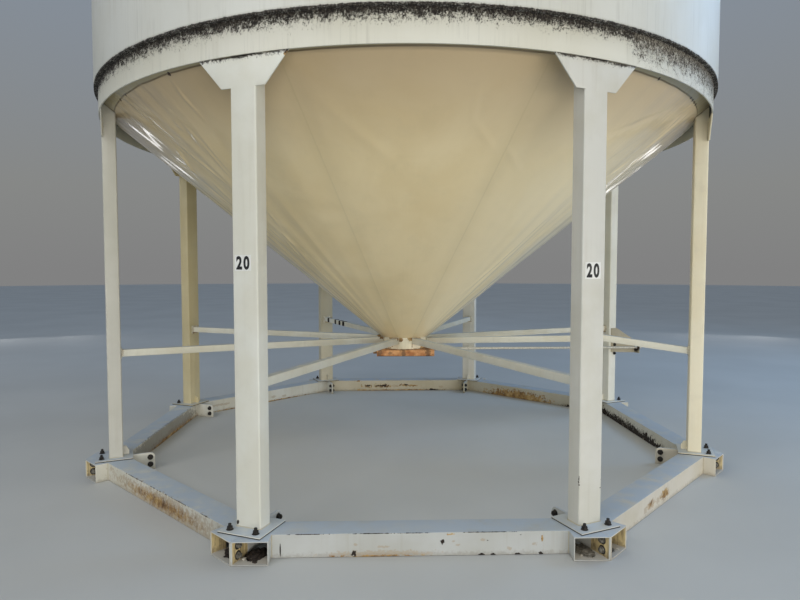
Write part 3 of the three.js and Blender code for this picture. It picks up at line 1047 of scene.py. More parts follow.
    @classmethod
    def nuts(cls, name: str, size: tuple[float, float, float, float], places: list[Matrix],
             material: Material) -> None:
        """Makes a piece of hexagon nuts on their washers, with the studs' ends.

        Args:
            name: Name of the piece.
            size: Width over a nut's corners, its height, the washer's radius, and how far the
                stud stands above the nut, or 0 for a plain bolt head.
            places: Where each nut stands along +Z.
            material: Finish of the nuts.
        """
        across, high, washer, stud = size
        thick = washer * 0.14
        discs = [(washer, 0.0, thick, 20), (across / 2, thick, thick + high, 6)]
        if stud > 0:
            discs.append((across * 0.27, thick + high * 0.9, thick + high + stud, 12))
        bm = bmesh.new()
        for radius, low, top, count in discs:
            disc = bmesh.ops.create_circle(bm, cap_ends=True, segments=count, radius=radius,
                                           matrix=Matrix.Translation((0, 0, low)))
            face = disc["verts"][0].link_faces[0]
            raised = bmesh.ops.extrude_face_region(bm, geom=[face])["geom"]
            lifted = [item for item in raised if isinstance(item, bmesh.types.BMVert)]
            bmesh.ops.translate(bm, verts=lifted, vec=(0, 0, top - low))
            cap = [edge for edge in {e for v in lifted for e in v.link_edges}
                   if all(v in lifted for v in edge.verts)]
            bmesh.ops.bevel(bm, geom=cap, offset=radius * 0.1, affect="EDGES", segments=1,
                            profile=0.5, material=-1)
        bmesh.ops.recalc_face_normals(bm, faces=bm.faces)
        nut = bpy.data.meshes.new("nut")
        bm.to_mesh(nut)
        bm.clear()
        for place in places:
            start = len(bm.verts)
            bm.from_mesh(nut)
            bm.verts.ensure_lookup_table()
            bmesh.ops.transform(bm, matrix=place, verts=bm.verts[start:])
        bpy.data.meshes.remove(nut)
        cls.from_bmesh(name, bm, Look(material, "rusted_steel"))


@dataclass(frozen=True)
class SmallFinishes:
    """Finishes of the bolts, the welds and the dirt."""

    bolts: Material
    grey_bolts: Material
    weld: Material
    dirt: Material
    grey_dirt: Material
    stones: Material


@dataclass
class BaseRing:
    """Eight hollow beams bolted corner to corner, each with its own rust.

    A mark's row gives across, height, half width and half height, then kind, raggedness and
    softness where they aren't the usual ones. An edge chip's row gives across and half width.
    """

    height: float = 0.125
    inner: float = 2.08
    outer: float = 2.24
    stub_side: float = 0.772
    rounding: float = 0.0026
    lug_bolt_radius: float = 2.084
    web_bolt_radius: float = 2.462
    web_face: float = 0.00815
    bolt_heights: tuple[float, float] = (0.038, 0.091)
    floor: float = 0.0062
    pebble: tuple[float, float] = (2.443, 0.030)
    grey_corners: tuple[int, ...] = (2, 3)
    edge_drop: float = 0.0025
    edge_width: float = 0.0019
    edge_depth: float = 0.0045
    heap_radius: float = 2.37
    paint: PaintedSteel = PaintedSteel(
        "ring_enamel", srgb(212, 210, 200), srgb(204, 200, 184), roughness=0.48, runs=0.25,
        chips=0.05, chip_reach=0.0055, dust_and_sky_tint=0.92, splash=0.03, splash_share=0.35, stubs=True)
    # Paint tones of single beams, lighter or darker to match how each is lit: partly the paint's own
    # tone, partly painted light and shade.
    tones_with_painted_light: ClassVar[dict[int, tuple[Colour, Colour]]] = {
        1: (srgb(191, 193, 191), srgb(182, 183, 178)), 2: (srgb(213, 206, 192), srgb(205, 197, 179)),
        5: (srgb(198, 188, 164), srgb(189, 178, 150)), 4: (srgb(190, 185, 168), srgb(180, 173, 152))}
    edge_chips: ClassVar[dict[int, Rows]] = {
        1: ((-0.58, 0.10), (-0.25, 0.13), (-0.03, 0.07), (0.35, 0.15)),
        8: ((-0.35, 0.14), (-0.05, 0.12), (0.25, 0.14), (0.56, 0.06))}
    outer_marks: ClassVar[dict[int, Rows]] = {
        1: ((-0.25, 0.003, 0.25, 0.009, RUST, 1.6, 0.6), (-0.22, 0.015, 0.28, 0.018, STAIN),
            (-0.352, 0.015, 0.02, 0.014, CHIP), (0.110, 0.079, 0.011, 0.016, CHIP),
            (0.632, 0.087, 0.006, 0.024), (0.167, 0.076, 0.009, 0.006, STAIN),
            (0.193, 0.057, 0.012, 0.006, STAIN), (0.321, 0.081, 0.012, 0.007, STAIN),
            (0.345, 0.078, 0.008, 0.005, CHIP), (0.459, 0.034, 0.014, 0.01, STAIN),
            (0.586, 0.056, 0.014, 0.009, STAIN), (0.518, 0.106, 0.009, 0.006, CHIP),
            (0.154, 0.113, 0.02, 0.006), (-0.339, 0.065, 0.012, 0.007, STAIN),
            (-0.2, 0.053, 0.03, 0.008, STAIN), (0.314, 0.003, 0.014, 0.008, CHIP),
            (0.374, 0.003, 0.012, 0.008, CHIP), (0.503, 0.003, 0.02, 0.007, CHIP),
            (0.625, 0.004, 0.012, 0.01, CHIP), (-0.727, 0.043, 0.004, 0.04, CHIP, 0.2)),
        2: ((-0.214, 0.058, 0.085, 0.038, RUST, 0.7, 1.0),
            (0.017, 0.058, 0.095, 0.042, RUST, 0.8, 0.6),
            (0.017, 0.055, 0.05, 0.018, RUST, 1.3, 0.8), (-0.3, 0.04, 0.03, 0.02, STAIN),
            (-0.1, 0.05, 0.03, 0.02, STAIN), (0.784, 0.044, 0.004, 0.028, CHIP, 0.2)),
        8: ((0.03, 0.05, 0.66, 0.058, RUST, 0.65, 0.85), (0.1, 0.05, 0.78, 0.072, STAIN),
            (-0.71, 0.1, 0.03, 0.018, STAIN))}
    # The grime rows on beams 3 and 7 darken their inner faces: partly dirt, partly painted shade.
    inner_marks: ClassVar[dict[int, Rows]] = {
        3: (*((-0.42 + step * 0.11, 0.02, 0.09, 0.026 + 0.014 * (step % 3), CHIP, 1.25)
              for step in range(12)),
            (0.15, 0.02, 0.8, 0.06, GRIME_AND_SHADE, 1.2)),
        4: ((0.15, 0.0, 0.46, 0.095, RUST, 0.9), (-0.6, 0.0, 0.2, 0.03, CHIP)),
        5: ((0.369, 0.058, 0.06, 0.02, RUST, 2.0), (0.36, 0.06, 0.03, 0.012, CHIP, 1.8),
            (0.19, 0.058, 0.10, 0.024, RUST, 1.8), (0.2, 0.06, 0.07, 0.013, CHIP, 2.0),
            (0.04, 0.058, 0.06, 0.02, STAIN, 1.4), (-0.08, 0.066, 0.07, 0.014, RUST, 2.2),
            (-0.1, 0.07, 0.03, 0.007, CHIP, 2.0), (-0.18, 0.062, 0.06, 0.012, RUST, 2.2),
            (0.431, 0.008, 0.07, 0.012, RUST, 2.0), (-0.434, 0.006, 0.09, 0.012, CHIP, 2.0),
            (-0.534, 0.046, 0.03, 0.014, STAIN), (0.487, 0.118, 0.03, 0.008, RUST, 2.0),
            (0.0, 0.0, 0.7, 0.014)),
        6: ((0.6, 0.067, 0.11, 0.012, STAIN, 1.5), (-0.067, 0.05, 0.04, 0.014, STAIN),
            (-0.216, 0.04, 0.04, 0.014, STAIN), (0.1, 0.0, 0.8, 0.014)),
        7: ((-0.16, 0.0, 0.64, 0.03, RUST, 1.1), (-0.2, 0.01, 0.7, 0.05, STAIN),
            (0.0, 0.05, 0.9, 0.10, GRIME_AND_SHADE, 0.5))}

    def marks(self, index: int) -> tuple[Mark, ...]:
        """Places the marks of one beam.

        Args:
            index: Number of the beam.

        Returns:
            Its marks.
        """
        turn = beam_turn(index)
        marks = [Mark(turn, (self.outer, across, self.height - self.edge_drop),
                      (wide, self.edge_width), CHIP, 1.4, self.edge_depth)
                 for across, wide in self.edge_chips.get(index, ())]
        for rows, out, usual in ((self.outer_marks, self.outer, 1.25),
                                 (self.inner_marks, self.inner, 1.0)):
            for across, height, wide, tall, *rest in rows.get(index, ()):
                kind, ragged, soft = (*rest, *(RUST, usual, Mark.soft)[len(rest):])
                marks.append(Mark(turn, (out, across, height), (wide, tall), kind, ragged,
                                  soft=soft))
        return tuple(marks)

    def build(self, small: SmallFinishes) -> None:
        """Builds the beams, bolts, welds and the dirt in the stubs.

        Args:
            small: Finishes of the small parts.
        """
        for index in CORNERS:
            first, second = self.tones_with_painted_light.get(index, (self.paint.paint, self.paint.second))
            paint = replace(self.paint, name=f"ring_enamel_{index}", marks=self.marks(index),
                            paint=first, second=second)
            Piece.worn(f"ring_beam_{index}", f"base_beam_{index}", self.rounding,
                       Look(paint.material()))
        self._bolts("lug_bolts", small.bolts, self.lug_bolt_radius, (0.034, 0.015, 0.0205, 0.006))
        self._bolts("web_washers", small.bolts, self.web_bolt_radius, (0.030, 0.001, 0.0235, 0.0))
        self._bolts("web_bolts", small.grey_bolts, self.web_bolt_radius,
                    (0.031, 0.012, 0.0175, 0.004), 0.0033)
        self._welds(small.weld)
        self._dirt(small)

    def _bolts(self, name: str, finish: Material, out: float,
               size: tuple[float, float, float, float], off: float = 0.0) -> None:
        """Puts two bolts through the webs of every corner.

        Args:
            name: Name of the piece.
            finish: Finish of the bolts.
            out: Distance of the bolts from the axis.
            size: What Piece.nuts takes.
            off: Distance that the bolts stand off the web.
        """
        places = [upright(leg_turn(index), out, side * (self.web_face + off), height)
                  @ Matrix.Rotation(-side * math.pi / 2, 4, "X")
                  for index in CORNERS for height in self.bolt_heights for side in (-1, 1)]
        Piece.nuts(name, size, places, finish)

    def _welds(self, finish: Material) -> None:
        """Welds the stubs' side walls to the beams' faces."""
        paths = [[turned_place(beam_turn(index), self.outer + 0.0005,
                               side * (self.stub_side - 0.0005), height)
                  for height in (0.006, self.height - 0.006)]
                 for index in CORNERS for side in (-1, 1)]
        Piece.weld("stub_welds", paths, 0.0035, Look(finish), seed=5)

    def _dirt(self, small: SmallFinishes) -> None:
        """Heaps dirt and a few pebbles on the floor of every stub.

        Args:
            small: Finishes of the small parts.
        """
        rng = random.Random(20)
        dark, grey, pebbles = bmesh.new(), bmesh.new(), bmesh.new()
        for index in CORNERS:
            heap = grey if index in self.grey_corners else dark
            for side in (-1, 1):
                middle = turned_place(leg_turn(index), self.heap_radius, side * 0.06, 0.0065)
                size = (rng.uniform(0.07, 0.08), rng.uniform(0.044, 0.05), rng.uniform(0.02, 0.028))
                if heap is grey:
                    size = (*size[:2], 0.013)
                lumps = [(size, (self.heap_radius, side * 0.062))]
                for _ in range(9):
                    small_size = rng.uniform(0.008, 0.016)
                    lumps.append(((small_size, small_size * 1.2, small_size * 0.8),
                                  (self.heap_radius + rng.uniform(-0.05, 0.075),
                                   side * rng.uniform(0.022, 0.11))))
                for extent, spot in lumps:
                    detail = 4 if extent is size else 2
                    made = bmesh.ops.create_icosphere(heap, subdivisions=detail,
                                                      radius=1.0)["verts"]
                    for vert in made:
                        rough = noise.fractal(vert.co * 2.6 + middle * 9, 0.6, 2.0, 5)
                        vert.co *= 1.0 + (0.34 if extent is size else 0.2) * rough
                        vert.co.z = max(vert.co.z, 0.0)
                    place = upright(leg_turn(index), *spot, self.floor)
                    bmesh.ops.transform(heap, verts=made,
                                        matrix=place @ Matrix.Diagonal((*extent, 1.0)))
                for number in range(3):
                    spot = (2.44 + rng.uniform(-0.04, 0.01), side * rng.uniform(0.03, 0.125))
                    radius = rng.uniform(0.004, 0.007)
                    if (index, side, number) == (1, 1, 0):
                        spot, radius = self.pebble, 0.010
                    stone = bmesh.ops.create_icosphere(pebbles, subdivisions=2, radius=radius)
                    for vert in stone["verts"]:
                        vert.co *= 1.0 + 0.25 * noise.noise(vert.co * 120 + middle)
                    lie = upright(leg_turn(index), *spot, 0.006 + radius * 0.7)
                    bmesh.ops.transform(pebbles, verts=stone["verts"],
                                        matrix=lie @ Matrix.Diagonal((1.3, 1.0, 0.8, 1.0)))
        Piece.from_bmesh("stub_dirt", dark, Look(small.dirt, "rusted_steel", smooth_below=60))
        Piece.from_bmesh("stub_dust", grey, Look(small.grey_dirt, "rusted_steel", smooth_below=60))
        Piece.from_bmesh("stub_pebbles", pebbles, Look(small.stones, smooth_below=60))


@dataclass
class Legs:
    """Eight box-section legs with foot plates, flared heads, nuts, welds and two numbers.

    A mark's row gives leg, across, height, half width and half height, then kind, raggedness and
    depth where they aren't the usual ones.
    """

    face: float = 2.358
    depth: float = 0.092
    width: float = 0.150
    rounding: float = 0.0028
    foot_top: float = 0.135
    foot_nut_radius: float = 2.407
    foot_nut_across: float = 0.079
    flare_bottom: float = 2.404
    flare_top: float = 2.5597
    number: str = "20"
    number_places: tuple[tuple[int, float, float, float, float], ...] = (
        (1, -0.012, 1.518, 0.080, 0.070), (2, -0.006, 1.479, 0.084, 0.075))
    # Paint tones of each leg, lighter or darker to match how each is lit: partly yellowing, partly
    # painted light and shade.
    tones_with_painted_light: ClassVar[dict[int, tuple[Colour, Colour]]] = {
        1: (srgb(218, 218, 209), srgb(211, 209, 196)), 2: (srgb(207, 206, 199), srgb(200, 198, 187)),
        3: (srgb(236, 228, 203), srgb(230, 220, 192)), 4: (srgb(240, 238, 226), srgb(232, 229, 214)),
        5: (srgb(222, 219, 208), srgb(215, 211, 196)), 6: (srgb(197, 189, 165), srgb(190, 180, 153)),
        7: (srgb(208, 195, 156), srgb(200, 186, 145)), 8: (srgb(194, 192, 182), srgb(186, 184, 172))}
    # The stain row at the head of leg 8 browns it where the skirt shades it: partly stain, partly
    # painted shade.
    marks: ClassVar[Rows] = (
        (1, -0.064, 0.159, 0.008, 0.016, CHIP), (1, 0.255, 2.54, 0.014, 0.016),
        (2, -0.0745, 0.377, 0.002, 0.034, CHIP, 1.3, 0.008),
        (2, -0.0735, 0.352, 0.004, 0.005, CHIP, 0.5, 0.012),
        (2, 0.0745, 0.345, 0.002, 0.030, CHIP, 1.3, 0.008),
        (2, 0.0725, 0.362, 0.004, 0.005, CHIP, 0.5, 0.012),
        (2, 0.066, 0.318, 0.004, 0.004, CHIP, 0.5), (8, -0.06, 2.50, 0.02, 0.05),
        (8, 0.0, 2.50, 0.085, 0.11, STAIN), (3, 0.06, 2.53, 0.03, 0.02, CHIP),
        (3, 0.07, 2.40, 0.012, 0.012, CHIP))

    def build(self, bolts: Material, weld: Material) -> None:
        """Builds the legs and what is on them.

        Args:
            bolts: Finish of the nuts.
            weld: Finish of the weld beads.
        """
        marks = tuple(Mark(leg_turn(index), (self.face, across, height), (wide, tall), *rest)
                      for index, across, height, wide, tall, *rest in self.marks)
        for index in CORNERS:
            # The near-black line under 0.1306 m is the painted shadow of the gap under each foot
            # plate.
            paint = PaintedSteel(f"leg_enamel_{index}", *self.tones_with_painted_light[index], roughness=0.4,
                                 runs=0.12, chips=0.0, chip_reach=0.004, dust_and_sky_tint=0.7, splash=0.15,
                                 splash_share=0.2, painted_gap_shadow_below=0.1306, moss_top=self.flare_top,
                                 moss_past=self.face - 0.0035, marks=marks)
            Piece.worn(f"box_leg_{index}", f"leg_{index}", self.rounding, Look(paint.material()))
        places = [upright(leg_turn(index), self.foot_nut_radius, across, self.foot_top)
                  for index in CORNERS for across in (self.foot_nut_across, -self.foot_nut_across)]
        Piece.nuts("foot_nuts", (0.032, 0.015, 0.0195, 0.014), places, bolts)
        self._welds(Look(weld, smooth_below=60))
        self._numbers()

    def _welds(self, look: Look) -> None:
        """Welds each leg to its foot plate, and the flared plate to the leg.

        Args:
            look: Finish of the beads.
        """
        feet, heads = [], []
        inner, half = self.face - self.depth, self.width / 2
        cut = 0.005
        corners = ((inner + cut, -half), (self.face - cut, -half), (self.face, cut - half),
                   (self.face, half - cut), (self.face - cut, half), (inner + cut, half),
                   (inner, half - cut), (inner, cut - half))
        for index in CORNERS:
            turn = leg_turn(index)
            feet.append([turned_place(turn, out, across, self.foot_top + 0.001)
                         for out, across in corners])
            for side in (-1, 1):
                heads.append([turned_place(turn, self.face - 0.009, side * half, height)
                              for height in (self.flare_bottom + 0.004, self.flare_top - 0.02)])
        Piece.weld("foot_welds", feet, 0.0042, look, seed=2, closed=True)
        Piece.weld("head_welds", heads, 0.0035, look, seed=3)

    def _numbers(self) -> None:
        """Sticks a plain number on the two front legs."""
        white = PaintedSteel("sticker_white", srgb(226, 226, 223), srgb(220, 220, 215),
                             roughness=0.35, chips=-0.4)
        black = PaintedSteel("sticker_black", srgb(14, 14, 16), srgb(20, 20, 23), roughness=0.7,
                             runs=0.0, chips=-0.4)
        paper, ink = Look(white.material()), Look(black.material())
        for index, across, height, wide, tall in self.number_places:
            turn, quarter = leg_turn(index), math.pi / 2
            place = (Matrix.Translation(turned_place(turn, self.face, across, height))
                     @ Matrix.Rotation(turn, 4, "Z")
                     @ Matrix.Rotation(quarter, 4, "Z") @ Matrix.Rotation(quarter, 4, "X"))
            label = bmesh.new()
            made = bmesh.ops.create_grid(label, x_segments=1, y_segments=1, size=0.5)["verts"]
            bmesh.ops.transform(label, verts=made, matrix=Matrix.Diagonal(
                (wide + 0.019, tall + 0.012, 1.0, 1.0)))
            bmesh.ops.solidify(label, geom=label.faces[:], thickness=-0.0005)
            bmesh.ops.recalc_face_normals(label, faces=label.faces)
            bmesh.ops.transform(label, verts=label.verts, matrix=place)
            Piece.from_bmesh(f"number_label_{index}", label, paper)
            digits = self._digits(wide, tall)
            digits.transform(place @ Matrix.Translation((0, 0, 0.0005)))
            Piece.finish(f"number_digits_{index}", digits, ink)

    def _digits(self, wide: float, tall: float) -> bpy.types.Mesh:
        """Makes the number's digits as thin bold shapes.

        Args:
            wide: Width over both digits.
            tall: Height of the digits.

        Returns:
            The mesh, flat at the origin and facing +Z.
        """
        text = bpy.data.curves.new("digits", "FONT")
        text.body = self.number
        text.align_x = "CENTER"
        text.align_y = "CENTER"
        text.offset = 0.042
        text.extrude = 0.003
        text.space_character = 1.28
        holder = bpy.data.objects.new("digits", text)
        mesh = bpy.data.meshes.new_from_object(holder)
        bpy.data.objects.remove(holder)
        bpy.data.curves.remove(text)
        xs = [vert.co.x for vert in mesh.vertices]
        ys = [vert.co.y for vert in mesh.vertices]
        middle = Vector(((max(xs) + min(xs)) / 2, (max(ys) + min(ys)) / 2, 0.0))
        size = Matrix.Diagonal((wide / (max(xs) - min(xs)), tall / (max(ys) - min(ys)), 0.1, 1.0))
        mesh.transform(size @ Matrix.Translation(-middle))
        return mesh


@dataclass
class Struts:
    """Eight square tubes from the outlet collar to the legs, with end plates and welds."""

    size: float = 0.050
    top: float = 0.904
    outer: float = 2.2597
    collar: float = 0.2043
    bent: int = 3
    bent_drop: float = 0.010
    rounding: float = 0.0035
    bands: tuple[tuple[float, float], ...] = (
        (2.12, 0.042), (1.86, 0.038), (1.71, 0.040), (1.58, 0.044))

    def paint(self) -> PaintedSteel:
        """Mixes the struts' paint, rusted at both ends.

        Returns:
            The paint.
        """
        middle = self.top - self.size / 2
        ends = (Mark(0.0, (self.outer, 0.0, middle), (0.046, 0.044), STAIN, 1.1, 0.014),
                Mark(0.0, (self.outer, 0.0, middle - 0.03), (0.034, 0.014), ragged=1.4, deep=0.012),
                Mark(0.0, (0.224, 0.010, self.top), (0.032, 0.028)))
        bands = tuple(Mark(leg_turn(6), (out, 0.0, middle), (0.08, 0.08), CHIP, 0.2, deep)
                      for out, deep in self.bands)
        return PaintedSteel("strut_enamel", srgb(229, 227, 213), srgb(220, 215, 196),
                            roughness=0.45, chips=0.02, chip_reach=0.004, dust_and_sky_tint=0.7, marks=bands,
                            corner_marks=ends)

    def build(self, weld: Material) -> None:
        """Builds the struts and their welds.

        Args:
            weld: Finish of the weld beads.
        """
        look = Look(self.paint().material())
        for index in CORNERS:
            Piece.worn(f"square_strut_{index}", f"strut_{index}", self.rounding, look)
        half = self.size / 2
        rings = []
        for index in CORNERS:
            for out in (self.outer, self.collar + 0.006):
                bent = index == self.bent and out < self.outer
                high = self.top - (self.bent_drop if bent else 0.0)
                low = high - self.size
                rings.append([turned_place(leg_turn(index), out, across, height)
                              for across, height in ((-half, high), (half, high),
                                                     (half, low), (-half, low))])
        Piece.weld("strut_welds", rings, 0.0032, Look(weld, smooth_below=60), seed=4, pitch=0.007,
                   closed=True)


@dataclass(frozen=True)
class Crease:
    """Buckle in a sheet between two points, each given by angle in degrees and radius."""

    turn: float
    radius: float
    end_turn: float
    end_radius: float
    height: float
    half_width: float

    def measure(self, radius: float, degrees: float) -> tuple[float, float]:
        """Finds where a point lies along the buckle and how far off it.

        Args:
            radius: Distance of the point from the axis.
            degrees: Angle of the point.

        Returns:
            The share of the length from 0 to 1, and the distance off it in half widths.
        """
        margin = self.half_width * 4
        first, last = sorted((self.radius, self.end_radius))
        across = math.radians((degrees - self.turn + 180) % 360 - 180) * radius
        end_across = math.radians(self.end_turn - self.turn) * self.end_radius
        left, right = sorted((0.0, end_across))
        if not (first - margin < radius < last + margin and
                left - margin < across < right + margin):
            return 0.0, 9.0
        along = Vector((end_across, self.end_radius - self.radius))
        point = Vector((across, radius - self.radius))
        share = min(1.0, max(0.0, point.dot(along) / along.length_squared))
        return share, (point - along * share).length / self.half_width

    def ridge(self, radius: float, degrees: float) -> float:
        """Finds the buckle's height at a point.

        Args:
            radius: Distance of the point from the axis.
            degrees: Angle of the point.

        Returns:
            The height.
        """
        share, off = self.measure(radius, degrees)
        if off > 4:
            return 0.0
        fade = math.sin(math.pi * (0.08 + 0.84 * share))
        return self.height * fade * (1 - 0.9 * off * off) * math.exp(-off * off)


@dataclass
class HopperCone:
    """Thin sheet cone with ten seams, a lap line under the skirt and buckles."""

    tip_radius: float = 0.205
    tip_height: float = 0.905
    rise: float = 0.8107
    top_radius: float = 2.3657
    lap: float = 2.275
    thick: float = 0.005
    steps: int = 480
    rows: int = 76
    finer: int = 2
    first_seam: float = -108.7
    seam_step: float = 36.0
    creases: tuple[Crease, ...] = tuple(Crease(*row) for row in (
        (-128.5, 2.25, -129.1, 2.13, 0.004, 0.016), (-129.2, 2.21, -128.8, 2.02, 0.005, 0.020),
        (-136.4, 2.08, -136.7, 2.00, 0.005, 0.024), (-134.9, 2.02, -136.5, 1.84, 0.004, 0.020),
        (-143.1, 2.13, -142.1, 1.98, 0.004, 0.018), (-133.1, 1.97, -134.3, 1.73, 0.004, 0.018),
        (-145.4, 1.94, -151.1, 1.73, 0.008, 0.022), (-143.1, 1.95, -140.2, 1.62, 0.005, 0.022),
        (-152.1, 1.88, -151.1, 1.78, 0.005, 0.018), (-134.7, 1.99, -136.2, 1.68, 0.004, 0.018),
        (-152.9, 1.71, -152.3, 1.50, 0.005, 0.020), (-146.0, 1.67, -147.1, 1.54, 0.004, 0.020),
        (-134.2, 1.43, -135.8, 1.29, 0.004, 0.020), (-142.3, 1.28, -142.1, 1.21, 0.004, 0.020),
        (-137.7, 1.25, -137.7, 1.12, 0.006, 0.018), (-140.4, 1.18, -142.1, 1.05, 0.006, 0.018),
        (-149.9, 1.23, -154.5, 0.66, 0.005, 0.024), (-138.8, 1.06, -140.4, 0.99, 0.004, 0.016),
        (-32.4, 2.22, -32.3, 1.95, 0.008, 0.018), (-34.2, 2.18, -33.4, 2.04, 0.005, 0.018),
        (-29.5, 1.97, -29.8, 1.81, 0.005, 0.018), (-34.1, 2.21, -43.2, 1.82, -0.005, 0.026),
        (-41.1, 2.18, -51.5, 1.96, -0.004, 0.026), (-33.3, 1.87, -34.9, 1.74, 0.004, 0.018),
        (-43.5, 1.23, -50.2, 0.68, 0.004, 0.024), (-43.3, 1.34, -45.5, 0.75, -0.004, 0.024),
        (-28.6, 1.00, -16.7, 0.61, 0.004, 0.030), (-81.4, 2.10, -81.0, 1.94, 0.003, 0.03),
        (-81.0, 1.94, -74.9, 1.78, 0.003, 0.03), (-73.9, 1.83, -65.4, 1.64, 0.0035, 0.03),
        (-106.7, 2.11, -91.0, 1.61, 0.003, 0.05), (-55.0, 2.02, -55.0, 1.88, 0.004, 0.03),
        (60.0, 2.15, 58.0, 1.80, 0.005, 0.025), (104.0, 2.20, 106.0, 1.86, 0.005, 0.025),
        (168.0, 2.18, 165.0, 1.80, 0.005, 0.025)))

    def surface_height(self, radius: float) -> float:
        """Returns the height of the cone's outer side at a distance from the axis."""
        return self.tip_height + (radius - self.tip_radius) * self.rise

    def bulge(self, point: Vector) -> float:
        """Finds how far the sheet stands out of a true cone.

        Args:
            point: Point on the true cone.

        Returns:
            The distance outwards, across the sheet.
        """
        radius = math.hypot(point.x, point.y)
        degrees = math.degrees(math.atan2(point.y, point.x))
        steps = (degrees - self.first_seam) / self.seam_step
        off = abs(steps - round(steps)) * math.radians(self.seam_step) * radius
        total = -0.0030 * math.exp(-(off / 0.07) ** 2) + 0.0008 * math.exp(-(off / 0.012) ** 2)
        total += 0.0035 * noise.noise(Vector((point.x, point.y, point.z)) * 1.3)
        total += 0.0016 * noise.noise(Vector((point.x, point.y, point.z + 5)) * 3.1)
        flank = min(1.0, max(0.0, (abs(degrees + 90) - 20) / 25))
        ray = Vector((point.x / radius * 15, point.y / radius * 15, radius * 0.8))
        total += 0.0085 * (0.08 + 0.92 * flank) * noise.noise(ray)
        for crease in self.creases:
            total += crease.ridge(radius, degrees)
        near_top = min(1.0, max(0.0, (self.top_radius - 0.02 - radius) / 0.12))
        near_tip = min(1.0, max(0.0, (radius - 0.22) / 0.25))
        total *= near_top * near_tip
        if radius > self.lap + 0.001:
            total -= 0.0025
        return total

    def build(self) -> None:
        """Builds the cone and its seams."""
        slant = self.thick * math.hypot(1, self.rise)
        top = self.surface_height(self.top_radius)
        lap_low, lap_high = self.lap - 0.0015, self.lap + 0.0015
        outline = [
            (self.tip_radius - slant / self.rise, self.tip_height),
            (self.tip_radius, self.tip_height),
            (lap_low, self.surface_height(lap_low)), (lap_high, self.surface_height(lap_high)),
            (self.top_radius, top), (self.top_radius, top + slant)]
        bm = Piece.turned(outline, self.steps, [0, self.rows, 0, 4, 0, 0])
        for _ in range(self.finer):
            self._refine(bm)
        slope = math.hypot(1, self.rise)
        for vert in bm.verts:
            radius = math.hypot(vert.co.x, vert.co.y)
            if self._is_inner(vert):
                continue
            level = self.tip_radius + (vert.co.z - self.tip_height) / self.rise
            vert.co.x *= level / radius
            vert.co.y *= level / radius
            radius = level
            out = Vector((vert.co.x / radius * self.rise, vert.co.y / radius * self.rise, -1.0))
            vert.co += out / slope * self.bulge(vert.co)
        enamel = ConePaint().material()
        Piece.from_bmesh("sheet_cone", bm, Look(enamel, "cone_paint", smooth_below=28),
                         "hopper_cone")
        self._seams(enamel)

    def _is_inner(self, vert: bmesh.types.BMVert) -> bool:
        """Tells whether a corner lies on the cone's inner side."""
        radius = math.hypot(vert.co.x, vert.co.y)
        return vert.co.z > self.surface_height(radius) + self.thick * 0.5

    def _refine(self, bm: bmesh.types.BMesh) -> None:
        """Splits the outer faces near the buckles.

        Args:
            bm: The cone, before it is buckled.
        """
        near = set()
        for vert in bm.verts:
            if self._is_inner(vert):
                continue
            radius = math.hypot(vert.co.x, vert.co.y)
            degrees = math.degrees(math.atan2(vert.co.y, vert.co.x))
            if any(crease.measure(radius, degrees)[1] < 2.2 for crease in self.creases):
                near.add(vert)
        faces = {face for vert in near for face in vert.link_faces
                 if all(v in near for v in face.verts)}
        edges = list({edge for face in faces for edge in face.edges})
        bmesh.ops.subdivide_edges(bm, edges=edges, cuts=1, use_grid_fill=True)

    def _seams(self, finish: Material) -> None:
        """Lays a low bead on each seam between two sheets.

        Args:
            finish: Finish of the beads.
        """
        paths = []
        for index in range(round(360 / self.seam_step)):
            turn = math.radians(self.first_seam + index * self.seam_step)
            path = []
            for step in range(41):
                radius = 0.26 + (self.lap - 0.27) * step / 40
                point = turned_place(turn, radius, 0.0, self.surface_height(radius))
                inward = 0.0012 - self.bulge(point)
                point += Vector((-math.cos(turn) * self.rise, -math.sin(turn) * self.rise, 1.0)
                                ) * (inward / math.hypot(1, self.rise))
                path.append(point)
            paths.append(path)
        Piece.weld("cone_seam_welds", paths, 0.0012, Look(finish, "cone_paint", smooth_below=60),
                   seed=6, pitch=0.012)


